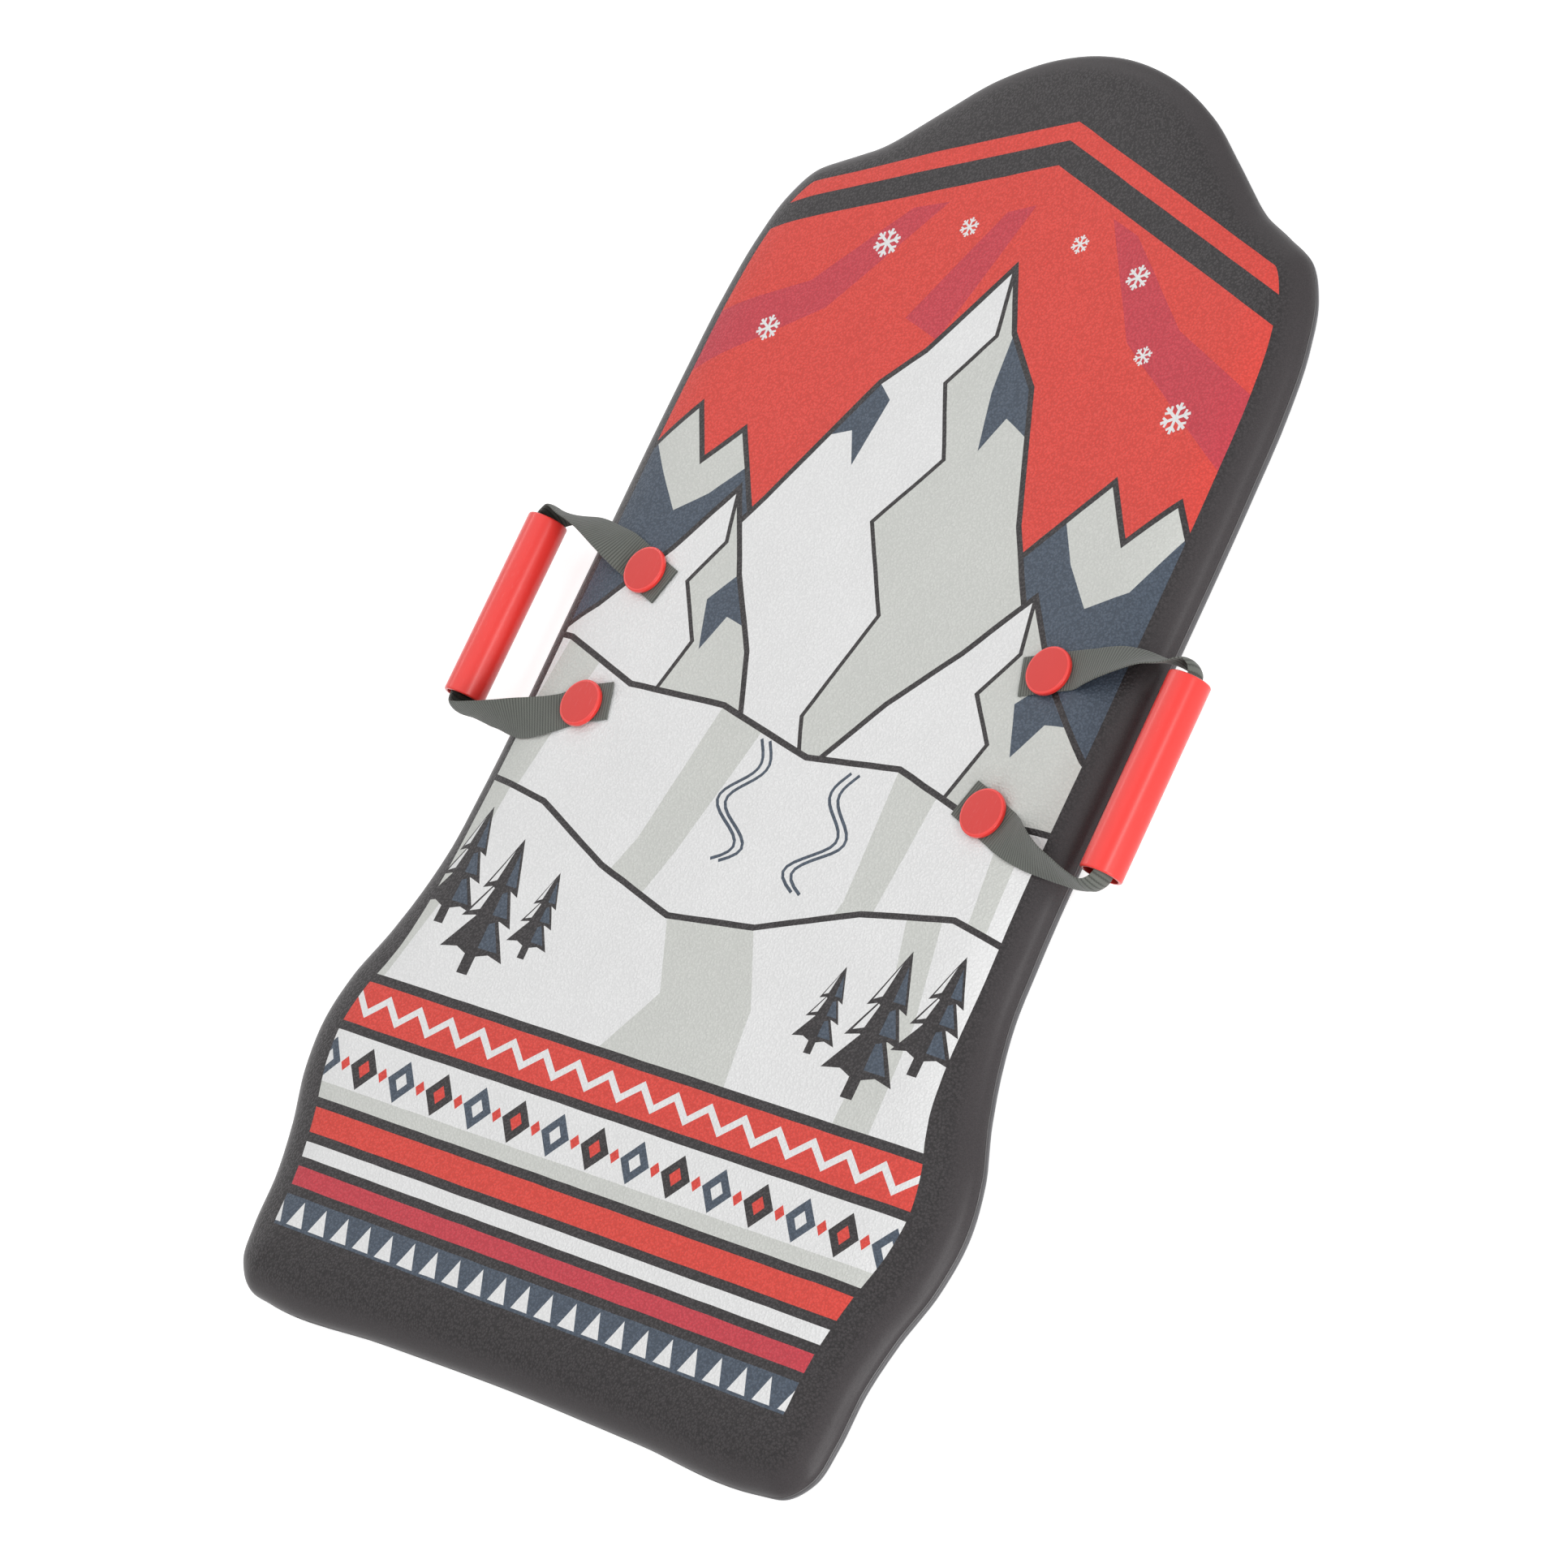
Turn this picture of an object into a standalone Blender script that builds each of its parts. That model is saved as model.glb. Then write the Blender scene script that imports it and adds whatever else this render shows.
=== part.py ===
"""Foam snow sled with a printed deck, a slick underside and a webbing handle on each side.

Run it with: blender --background --python part.py
The origin is on the snow under the middle of the sled, +Y points to the nose and +Z up.
"""
import math

import bmesh
import bpy
from mathutils import Vector

MM = 0.001

# Board
THICKNESS = 25.5 * MM
DECK_ROLL = 47 * MM
SEAM_HEIGHT = 6 * MM
NOSE_LIFT = 11.2 * MM
NOSE_LIFT_START = 0.246
NOSE_TIP = 0.4455
SKIN_SHEET = 1.2 * MM
SLICK_SHEET = 1.2 * MM
SLICK_CORNER = 3.5 * MM
GAP = 0.3 * MM
GLUE = 1.7 * MM

# Right half of the plan outline at its widest level, nose to tail, in millimetres
OUTLINE_MM = (
    (0, 445.5), (45, 438.5), (86, 419.5), (125, 388.5), (157, 363), (180, 352), (201, 341), (215.5, 320),
    (225.2, 287), (230.4, 243), (232, 190), (232.4, 40), (233, -110), (235.4, -148), (241.5, -177),
    (251, -207), (265, -241), (271, -273), (267.5, -307), (256, -343), (249.5, -375), (248, -408),
)
TAIL_CORNER_MM = ((243.5, -431), (230, -445), (208, -449))
TAIL_LINE_MM = ((110, -447), (0, -445.3))
OUTLINE_SAMPLES = 24
TURN_PER_POINT = math.radians(7)
LONGEST_STEP = 0.060

# Rings of the rail: angles of its roll in degrees, and one ring on the flat in shares of the roll
ROLL_ANGLES = (76, 62, 48, 34, 18, 0)
FLAT_RING = 1.5
SEAM_WALL = 1.2 * MM

# Each ring is drawn in towards the middle line between these two places along it
NOSE_SPINE = 0.300
TAIL_SPINE = -0.225
LEAST_SLANT = 0.5

# Snap rivets
RIVET_X = 168.3 * MM
RIVET_SPACING = 92.4 * MM
HANDLE_MIDDLE_Y = 7.1 * MM
HEAD_RADIUS = 15.4 * MM
HEAD_HEIGHT = 3.4 * MM
POST_RADIUS = 5 * MM
POST_BORE = 3.4 * MM
CROWN = 1 * MM
HOLE_RADIUS = 5.5 * MM
BASE_HEIGHT = 2.6 * MM
BASE_RECESS = 0.4 * MM
STEM_RADIUS = 2.6 * MM
STEM_TIP = 1.8 * MM
STEM_TOP = 21 * MM
BARB_RADIUS = 3.1 * MM
BARB_LENGTH = 3 * MM
CATCH_TOP = 13 * MM
BARB_EDGE = 0.4 * MM
DIMPLE_RADIUS = 16 * MM
GUIDE_LOW = -10 * MM
GUIDE_HIGH = 50 * MM

# Handles
STRAP_WIDTH = 25.4 * MM
STRAP_SHEET = 1.2 * MM
STRAP_COLUMNS = 4
STRAP_SAMPLES = 3
GRIP_X = 266.8 * MM
GRIP_Z = 27 * MM
GRIP_LENGTH = 125 * MM
GRIP_RADIUS = 12.7 * MM
GRIP_BORE = 10.7 * MM
GRIP_RIM = 0.9 * MM
SWING_X = 187 * MM
CURL_RADIUS = 9.2 * MM
LEAST_CURL = 0.001

# Way of each strap from its front end to its rear end, with the left one given as if mirrored:
# x, y, z of the middle of the webbing in millimetres, how far it has turned over in degrees, and
# how far it is curled lengthways, up to the full curl that it has inside the grip
STRAP_ROUTES = {
    "right": (
        (148.6, 46.4, 26.4, 0, 0), (168.3, 53.3, 26.4, 0, 0), (181, 57.2, 26.4, 0, 0),
        (184.6, 58.3, 26.5, 0, 0), (188.4, 59.4, 27.4, -3, 0), (195, 61.6, 29.2, -12, 0),
        (204, 65.3, 30.8, -20, 0), (213.5, 69.2, 31, -28, 0), (224.8, 72.4, 30.2, -42, 0),
        (236.2, 74.3, 29.2, -60, 0), (247, 75, 28, -76, 0.05), (256, 75.3, 27, -92, 0.2),
        (262.4, 74, 26.9, -102, 0.55), (265.6, 70.6, 27.2, -105, 0.9), (265.8, 62, 27.2, -105, 0.92),
        (265.8, -48, 27.2, -105, 0.92), (265.6, -56.4, 27.2, -105, 0.9), (262.4, -60.8, 26.6, -101, 0.55),
        (255.6, -62.3, 26.4, -91, 0.2), (247, -62.3, 27.3, -81, 0.05), (237.6, -60.8, 29.2, -72, 0),
        (226.3, -58.8, 31.6, -61, 0), (215, -55.8, 32.8, -45, 0), (204.6, -52.2, 31.9, -29, 0),
        (195.4, -49, 29.6, -13, 0), (188, -46.5, 27.4, -4, 0), (184.4, -45, 26.4, 0, 0),
        (181, -43.8, 26.4, 0, 0), (168.3, -39.1, 26.4, 0, 0), (148.6, -32.2, 26.4, 0, 0),
    ),
    "left": (
        (148.6, 46.4, 26.4, 0, 0), (168.3, 53.3, 26.4, 0, 0), (181, 58.3, 26.4, 0, 0),
        (184.4, 59.6, 26.6, 0, 0), (188, 61, 28.1, -6, 0), (195, 63.6, 30.6, -18, 0),
        (204, 66.6, 32, -31, 0), (214.5, 70, 31.8, -42, 0), (226, 73.4, 31, -51, 0),
        (238, 75.6, 29.8, -60, 0), (248.5, 76, 28.6, -72, 0.05), (256.8, 75.6, 27.4, -89, 0.2),
        (262.9, 74, 26.9, -102, 0.55), (265.8, 70.6, 27.2, -105, 0.9), (265.8, 62, 27.2, -105, 0.92),
        (265.8, -48, 27.2, -105, 0.92), (265.8, -56.4, 27.2, -105, 0.9), (263, -61, 27.6, -100, 0.55),
        (256.6, -63, 28.6, -90, 0.2), (246.8, -63.2, 29.6, -80, 0.05), (235, -62.2, 30, -70, 0),
        (221.6, -61, 30.2, -52, 0), (208.4, -58.5, 29.9, -27, 0), (196.4, -54, 28.6, -9, 0),
        (188, -49.6, 27.2, -2, 0), (184.4, -47.5, 26.4, 0, 0), (181, -45.6, 26.4, 0, 0),
        (168.3, -39.1, 26.4, 0, 0), (148.6, -32.2, 26.4, 0, 0),
    ),
}

# Colours
CHARCOAL = (0.058, 0.052, 0.054)
FOAM_GREY = (0.30, 0.30, 0.31)
SLICK_GREY = (0.12, 0.12, 0.125)
SIGNAL_RED = (0.78, 0.085, 0.075)
WEBBING_GREY = (0.085, 0.092, 0.085)

ROUND_STEPS = 24
GRIP_STEPS = 28
MERGE = 0.00001


def clear_scene():
    """Empty the scene of its objects."""
    for obj in list(bpy.data.objects):
        bpy.data.objects.remove(obj)


def make_collection(name):
    """A new collection linked to the scene."""
    collection = bpy.data.collections.new(name)
    bpy.context.scene.collection.children.link(collection)
    return collection


def make_material(name, colour, roughness):
    """A Principled material of one colour."""
    material = bpy.data.materials.new(name)
    material.use_nodes = True
    shader = material.node_tree.nodes["Principled BSDF"]
    shader.inputs["Base Color"].default_value = (*colour, 1.0)
    shader.inputs["Roughness"].default_value = roughness
    return material


def add_object(name, bm, collection, material=None, location=(0, 0, 0), smooth_angle=35):
    """Turn a bmesh into a named object with smooth faces between sharp edges."""
    mesh = bpy.data.meshes.new(name)
    bm.to_mesh(mesh)
    bm.free()
    mesh.shade_smooth()
    mesh.set_sharp_from_angle(angle=math.radians(smooth_angle))
    obj = bpy.data.objects.new(name, mesh)
    obj.location = location
    if material:
        mesh.materials.append(material)
    collection.objects.link(obj)
    return obj


def smooth_curve(values, keys, samples):
    """Values on a smooth curve through the given vectors, which are spaced like the keys."""
    slopes = [(b - a) / (v - u) for a, b, u, v in zip(values, values[1:], keys, keys[1:])]
    tangents = [slopes[0]]
    for before, after, u, v, w in zip(slopes, slopes[1:], keys, keys[1:], keys[2:]):
        tangents.append((before * (w - v) + after * (v - u)) / (w - u))
    tangents.append(slopes[-1])
    result = []
    for index, step in enumerate(v - u for u, v in zip(keys, keys[1:])):
        a, b = values[index], values[index + 1]
        for sample in range(samples):
            t = sample / samples
            rise = t * t * (3 - 2 * t)
            pull = tangents[index] * (t * (1 - t) ** 2) - tangents[index + 1] * (t * t * (1 - t))
            result.append(a + (b - a) * rise + pull * step)
    result.append(values[-1].copy())
    return result


def lengths_along(points):
    """Distance from the first point to each point, along the straight lines between them."""
    keys = [0.0]
    for a, b in zip(points, points[1:]):
        keys.append(keys[-1] + (b - a).length)
    return keys


def thin_out(points):
    """Keep a point for each few degrees of turn and each longest step."""
    kept = [points[0]]
    heading = (points[1] - points[0]).normalized()
    for before, here, after in zip(points, points[1:], points[2:]):
        turn = heading.angle(after - here)
        if turn > TURN_PER_POINT or (here - kept[-1]).length > LONGEST_STEP:
            kept.append(here)
            heading = (after - here).normalized()
    kept.append(points[-1])
    return kept


def half_outline():
    """Plan points of the right half, from the nose tip to the middle of the tail."""
    side = [Vector(p) * MM for p in OUTLINE_MM + TAIL_CORNER_MM + TAIL_LINE_MM]
    mirrored = [Vector((-side[1].x, side[1].y))] + side + [Vector((-side[-2].x, side[-2].y))]
    smooth = smooth_curve(mirrored, lengths_along(mirrored), OUTLINE_SAMPLES)
    smooth = smooth[OUTLINE_SAMPLES:-OUTLINE_SAMPLES]
    smooth[0].x = smooth[-1].x = 0.0
    return thin_out(smooth)


def full_outline():
    """Closed plan loop, anticlockwise from above, starting at the nose tip."""
    half = half_outline()
    left = [Vector((-p.x, p.y)) for p in half[1:-1]]
    right = [p.copy() for p in reversed(half[1:-1])]
    return [half[0]] + left + [half[-1]] + right


OUTLINE = full_outline()


def inward(index):
    """Direction from an outline point to the spine of the board, and its slant to the edge."""
    here = OUTLINE[index]
    before, after = OUTLINE[index - 1], OUTLINE[(index + 1) % len(OUTLINE)]
    along = (after - before).normalized()
    normal = Vector((-along.y, along.x))
    spine = Vector((0.0, min(max(here.y, TAIL_SPINE), NOSE_SPINE)))
    direction = (spine - here).normalized()
    return direction, max(direction.dot(normal), LEAST_SLANT)


def edge_distance(point):
    """Shortest distance in plan from a point to the outline."""
    best = 1.0
    for index, start in enumerate(OUTLINE):
        span = OUTLINE[(index + 1) % len(OUTLINE)] - start
        share = min(max((point - start).dot(span) / span.length_squared, 0.0), 1.0)
        best = min(best, (point - start - share * span).length)
    return best


def lift(y):
    """Height of the underside above the snow, which sweeps up towards the nose."""
    share = max(y - NOSE_LIFT_START, 0.0) / (NOSE_TIP - NOSE_LIFT_START)
    return NOSE_LIFT * share * share


def deck_height(point, offset):
    """Height of the deck, or of a surface the given offset inside it, with its rolled rail."""
    wide = DECK_ROLL - offset
    seam = lift(point.y) + SEAM_HEIGHT
    tall = THICKNESS - offset - seam
    inset = min(max(edge_distance(point) - offset, 0.0) / wide, 1.0)
    return THICKNESS - offset - tall * (1.0 - math.sqrt(1.0 - (1.0 - inset) ** 2))


def add_ring(bm, inset, height):
    """Closed ring of vertices at an inset from the outline, with heights from a function."""
    ring = []
    for index, here in enumerate(OUTLINE):
        direction, slant = inward(index)
        point = here + direction * (inset / slant)
        ring.append(bm.verts.new((point.x, point.y, height(point))))
    return ring


def bridge(bm, lower, upper):
    """Quads between two rings, facing out where the upper ring lies inside or above."""
    count = len(lower)
    for i in range(count):
        j = (i + 1) % count
        bm.faces.new((lower[i], lower[j], upper[j], upper[i]))


def deck_rings(bm, offset):
    """Rings of the deck from the seam over the rail to the flat top, and the top face."""
    rings = [add_ring(bm, offset, lambda p, up=up: lift(p.y) + SEAM_HEIGHT + up) for up in (0, SEAM_WALL)]
    insets = [1 - math.sin(math.radians(angle)) for angle in ROLL_ANGLES]
    for inset in insets + [FLAT_RING]:
        rings.append(add_ring(bm, offset + inset * DECK_ROLL, lambda p: deck_height(p, offset)))
    for lower, upper in zip(rings, rings[1:]):
        bridge(bm, lower, upper)
    bm.faces.new(rings[-1])
    return rings[0]


def bottom_rings(bm, offset, top_height):
    """Rings of the underside from the given height round its corner, and the bottom faces."""
    radius = SLICK_CORNER - offset
    rings = [add_ring(bm, offset, top_height)]
    for angle in (0, 30, 60, 90):
        turn = math.radians(angle)
        inset = offset + radius * (1 - math.cos(turn))
        rise = offset + radius * (1 - math.sin(turn))
        rings.append(add_ring(bm, inset, lambda p, rise=rise: lift(p.y) + rise))
    for lower, upper in zip(rings[1:], rings):
        bridge(bm, lower, upper)
    fill_bottom(bm, rings[-1])
    return rings[0]


def fill_bottom(bm, ring):
    """Close the underside: one flat face to where the nose lifts, then a face per step."""
    count = len(ring)
    pairs = [(ring[i], ring[-i]) for i in range(1, (count + 1) // 2)]
    rising = [pair for pair in pairs if pair[0].co.y > NOSE_LIFT_START]
    flat_start = len(rising)
    bm.faces.new((ring[0], rising[0][1], rising[0][0]))
    for (left_a, right_a), (left_b, right_b) in zip(rising, rising[1:]):
        bm.faces.new((left_a, right_a, right_b, left_b))
    left_last, right_last = rising[-1]
    flat = [right_last] + [v for v in reversed(ring[flat_start + 1:count - flat_start])] + [left_last]
    bm.faces.new(flat)


def solidify(obj, thickness, offset):
    """Give an open surface a thickness: offset 0 on both sides, -1 inwards only."""
    modifier = obj.modifiers.new("Sheet", "SOLIDIFY")
    modifier.thickness = thickness
    modifier.offset = offset
    modifier.use_even_offset = True
    return modifier


def boolean(obj, cutter, operation):
    """Cut or join another object."""
    modifier = obj.modifiers.new(operation.title(), "BOOLEAN")
    modifier.operation = operation
    modifier.object = cutter
    modifier.solver = "EXACT"
    return modifier


def rivet_places():
    """Name and plan position of each rivet."""
    places = {}
    for end, step in (("front", 0.5), ("rear", -0.5)):
        for side, sign in (("left", -1), ("right", 1)):
            y = HANDLE_MIDDLE_Y + step * RIVET_SPACING
            places[f"{end}_{side}"] = (sign * RIVET_X, y)
    return places


def cylinders(name, radius, low, high, collection):
    """One guide object with an upright cylinder at each rivet."""
    bm = bmesh.new()
    for x, y in rivet_places().values():
        made = bmesh.ops.create_cone(bm, cap_ends=True, segments=ROUND_STEPS, radius1=radius,
                                     radius2=radius, depth=high - low)
        bmesh.ops.translate(bm, verts=made["verts"], vec=(x, y, 0.5 * (low + high)))
    obj = add_object(name, bm, collection)
    obj.hide_render = True
    obj.display_type = "WIRE"
    return obj


def turned(name, profile, collection, material, location, steps, closed=False):
    """A turned piece from its profile in radius and height, run down the outer side."""
    bm = bmesh.new()
    verts = [bm.verts.new((radius, 0.0, height)) for radius, height in profile]
    for a, b in zip(verts, verts[1:]):
        bm.edges.new((a, b))
    if closed:
        bm.edges.new((verts[-1], verts[0]))
    obj = add_object(name, bm, collection, material, location)
    screw = obj.modifiers.new("Turn", "SCREW")
    screw.steps = screw.render_steps = steps
    screw.use_merge_vertices = True
    screw.merge_threshold = MERGE
    screw.use_smooth_shade = True
    return obj


def build_deck_skin(collection, guides, material):
    """Printed skin over the deck and rails, with the four rivet holes."""
    bm = bmesh.new()
    deck_rings(bm, 0.0)
    obj = add_object("deck_skin", bm, collection, material)
    solidify(obj, SKIN_SHEET, -1.0)
    boolean(obj, guides["hole"], "DIFFERENCE")
    return obj


def build_foam_core(collection, guides, material):
    """Foam slab between the skins, with rivet holes and pockets over the dimples."""
    bm = bmesh.new()
    offset = SKIN_SHEET + GLUE
    rail = deck_rings(bm, offset)
    wall = bottom_rings(bm, offset, lambda p: lift(p.y) + SLICK_CORNER + GAP)
    bridge(bm, wall, rail)
    obj = add_object("foam_core", bm, collection, material)
    boolean(obj, guides["pocket"], "DIFFERENCE")
    boolean(obj, guides["hole"], "DIFFERENCE")
    return obj


def build_slick_bottom(collection, guides, material):
    """Slick sheet with its edge turned up to the seam and a dimple pressed in for each rivet."""
    bm = bmesh.new()
    bottom_rings(bm, 0.0, lambda p: lift(p.y) + SEAM_HEIGHT - GAP)
    obj = add_object("slick_bottom", bm, collection, material)
    solidify(obj, SLICK_SHEET, -1.0)
    boolean(obj, guides["cup"], "UNION")
    boolean(obj, guides["dimple"], "DIFFERENCE")
    boolean(obj, guides["hole"], "DIFFERENCE")
    return obj


def head_profile():
    """Rivet head with a bevelled rim over a hollow post."""
    under = THICKNESS + 2 * GAP + STRAP_SHEET
    top = under + HEAD_HEIGHT
    post_end = BASE_RECESS + BASE_HEIGHT + GAP
    r = HEAD_RADIUS
    return (
        (0, top), (r - 1.9 * MM, top), (r - 0.9 * MM, top - 0.4 * MM), (r - 0.1 * MM, top - 1.8 * MM),
        (r, under + 0.7 * MM), (r - 0.5 * MM, under), (POST_RADIUS, under), (POST_RADIUS, post_end),
        (POST_BORE, post_end), (POST_BORE, THICKNESS), (0, THICKNESS + CROWN),
    )


def base_profile():
    """Rivet base: a flat disc with a barbed stem that snaps into the post."""
    top = BASE_RECESS + BASE_HEIGHT
    stem, barb = STEM_RADIUS, BARB_RADIUS
    barb_low = STEM_TOP - BARB_LENGTH
    return (
        (0, STEM_TOP), (STEM_TIP, STEM_TOP), (barb, barb_low), (stem, barb_low - BARB_EDGE),
        (stem, CATCH_TOP), (barb, CATCH_TOP - BARB_EDGE), (stem, CATCH_TOP - 2 * BARB_EDGE), (stem, top),
        (HEAD_RADIUS - 0.5 * MM, top), (HEAD_RADIUS, top - 0.5 * MM),
        (HEAD_RADIUS, BASE_RECESS + 0.6 * MM), (HEAD_RADIUS - 0.6 * MM, BASE_RECESS), (0, BASE_RECESS),
    )


def build_rivets(collection, material):
    """Four snap rivets, each a head with its post and a base with its stem."""
    for place, (x, y) in rivet_places().items():
        turned(f"rivet_head_{place}", head_profile(), collection, material, (x, y, 0), ROUND_STEPS)
        turned(f"rivet_base_{place}", base_profile(), collection, material, (x, y, 0), ROUND_STEPS)


def strap_stations(side):
    """Middle, turn and curl of the whole strap, from its front end to its rear end."""
    route = STRAP_ROUTES[side]
    points = [Vector((x, y, z)) * MM for x, y, z, _, _ in route]
    middles = smooth_curve(points, lengths_along(points), STRAP_SAMPLES)
    stations = []
    for index, middle in enumerate(middles):
        row, step = divmod(index, STRAP_SAMPLES)
        turn, curl = route[row][3:]
        if step:
            share = step / STRAP_SAMPLES
            turn += share * (route[row + 1][3] - turn)
            curl += share * (route[row + 1][4] - curl)
        stations.append((middle, math.radians(turn), curl))
    return stations


def strap_surface(side, sign):
    """Middle surface of a strap: a row of vertices across the webbing at each station."""
    bm = bmesh.new()
    stations = strap_stations(side)
    last = len(stations) - 1
    rows = []
    for index, (middle, turn, curl) in enumerate(stations):
        ahead = (stations[min(index + 1, last)][0] - stations[max(index - 1, 0)][0]).normalized()
        level = Vector((ahead.y, -ahead.x, 0.0)).normalized()
        width = level * math.cos(turn) + ahead.cross(level) * math.sin(turn)
        points = cross_points(middle, width, width.cross(ahead), curl)
        rows.append([bm.verts.new((sign * p.x, p.y, p.z)) for p in points])
    for row, after in zip(rows, rows[1:]):
        for j in range(STRAP_COLUMNS):
            bm.faces.new((row[j], row[j + 1], after[j + 1], after[j]))
    return bm


def cross_points(middle, width, face, curl):
    """Points across the webbing, which bows to its top face where it is curled."""
    points = []
    bend = max(curl, LEAST_CURL) / CURL_RADIUS
    half = 0.5 * STRAP_WIDTH
    for j in range(STRAP_COLUMNS + 1):
        s = half * (2 * j / STRAP_COLUMNS - 1)
        side = math.sin(bend * s) / bend
        bow = (math.cos(bend * s) - math.cos(bend * half)) / bend
        points.append(middle + width * side + face * bow)
    return points


def grip_profile():
    """Wall of the grip tube, with lightly rounded mouths."""
    low, high = -0.5 * GRIP_LENGTH, 0.5 * GRIP_LENGTH
    rim = GRIP_RIM
    return (
        (GRIP_BORE + 0.4 * rim, high), (GRIP_RADIUS - rim, high),
        (GRIP_RADIUS - 0.3 * rim, high - 0.3 * rim), (GRIP_RADIUS, high - rim),
        (GRIP_RADIUS, low + rim), (GRIP_RADIUS - 0.3 * rim, low + 0.3 * rim),
        (GRIP_RADIUS - rim, low), (GRIP_BORE + 0.4 * rim, low),
        (GRIP_BORE, low + 0.4 * rim), (GRIP_BORE, high - 0.4 * rim),
    )


def build_handle(side, sign, collection, guides, webbing, plastic):
    """A strap and its grip, both hung from an empty on the line that the webbing bends about."""
    pivot = bpy.data.objects.new(f"handle_{side}_pivot", None)
    pivot.location = (sign * SWING_X, HANDLE_MIDDLE_Y, GRIP_Z)
    collection.objects.link(pivot)
    bm = strap_surface(side, sign)
    bmesh.ops.translate(bm, verts=bm.verts, vec=-pivot.location)
    strap = add_object(f"strap_{side}", bm, collection, webbing)
    strap.parent = pivot
    solidify(strap, STRAP_SHEET, 0.0)
    boolean(strap, guides["hole"], "DIFFERENCE")
    place = (sign * (GRIP_X - SWING_X), 0, 0)
    grip = turned(f"grip_{side}", grip_profile(), collection, plastic, place, GRIP_STEPS, closed=True)
    grip.rotation_euler = (math.radians(-90), 0, 0)
    grip.parent = pivot


def main():
    """Build the sled."""
    clear_scene()
    sled = make_collection("foam_sled")
    guide_collection = make_collection("guides")
    cup_top = BASE_RECESS + BASE_HEIGHT + GAP + SLICK_SHEET
    guides = {
        "hole": cylinders("rivet_hole_guide", HOLE_RADIUS, GUIDE_LOW, GUIDE_HIGH, guide_collection),
        "pocket": cylinders("pocket_guide", DIMPLE_RADIUS + SLICK_SHEET + GAP, GUIDE_LOW,
                            cup_top + GAP, guide_collection),
        "cup": cylinders("cup_guide", DIMPLE_RADIUS + SLICK_SHEET, 0.5 * SLICK_SHEET, cup_top,
                         guide_collection),
        "dimple": cylinders("dimple_guide", DIMPLE_RADIUS, GUIDE_LOW, cup_top - SLICK_SHEET,
                            guide_collection),
    }
    skin = make_material("deck_laminate", CHARCOAL, 0.62)
    foam = make_material("foam", FOAM_GREY, 0.9)
    slick = make_material("slick_sheet", SLICK_GREY, 0.35)
    red = make_material("red_plastic", SIGNAL_RED, 0.38)
    webbing = make_material("webbing", WEBBING_GREY, 0.85)
    build_deck_skin(sled, guides, skin)
    build_foam_core(sled, guides, foam)
    build_slick_bottom(sled, guides, slick)
    build_rivets(sled, red)
    for side, sign in (("left", -1), ("right", 1)):
        build_handle(side, sign, sled, guides, webbing, red)


main()
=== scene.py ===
"""Looks, light and camera of the foam snow sled.

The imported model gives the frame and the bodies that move. This script cuts the deck laminate along
its printed artwork, forms the slick underside, weaves the webbing handles, turns the moulded
plastic pieces, gives every surface its finish, and sets up the studio.
"""
from __future__ import annotations

import logging
import math
from dataclasses import dataclass, field
from enum import Enum
from typing import Sequence

import bmesh
import bpy
import numpy as np
from bmesh.types import BMesh, BMVert
from bpy.types import Material, Node, NodeSocket, NodeTree, Object, Scene
from mathutils import Matrix, Vector, noise
from mathutils.geometry import delaunay_2d_cdt


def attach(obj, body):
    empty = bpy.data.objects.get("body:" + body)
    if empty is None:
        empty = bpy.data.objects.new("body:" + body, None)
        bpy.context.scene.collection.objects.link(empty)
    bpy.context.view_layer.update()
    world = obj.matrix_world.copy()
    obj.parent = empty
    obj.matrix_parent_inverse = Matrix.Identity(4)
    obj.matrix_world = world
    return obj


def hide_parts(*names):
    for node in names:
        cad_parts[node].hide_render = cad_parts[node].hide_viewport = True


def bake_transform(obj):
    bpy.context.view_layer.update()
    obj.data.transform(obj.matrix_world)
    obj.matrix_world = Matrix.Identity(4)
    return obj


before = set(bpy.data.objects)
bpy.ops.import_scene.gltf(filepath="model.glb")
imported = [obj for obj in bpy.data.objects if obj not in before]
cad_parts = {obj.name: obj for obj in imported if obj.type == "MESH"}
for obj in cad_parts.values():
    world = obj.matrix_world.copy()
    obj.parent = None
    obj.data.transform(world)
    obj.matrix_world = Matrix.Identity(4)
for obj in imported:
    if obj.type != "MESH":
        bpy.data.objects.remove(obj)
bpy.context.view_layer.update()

MM = 0.001
NOISE_SEED = 5  # a seed of 0 would draw anew in every run
Point = tuple[float, float]
Place = tuple[float, float, float]
Colour = tuple[float, float, float]
Inputs = dict[str | int, object]
StrapRow = tuple[float, float, float, float, float]
log = logging.getLogger("foam_sled")


class Side(Enum):
    """The side of the sled that a handle is on, with the sign of its x."""

    LEFT = -1
    RIGHT = 1

    @property
    def word(self) -> str:
        """The side's name in node and body names."""
        return self.name.lower()


class Ink(Enum):
    """The inks of the deck print, in the order of the laminate's material slots."""

    CHARCOAL = 0
    WHITE = 1
    LIGHT_GREY = 2
    RED = 3
    DARK_RED = 4
    SLATE = 5


# Shader nodes


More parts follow.
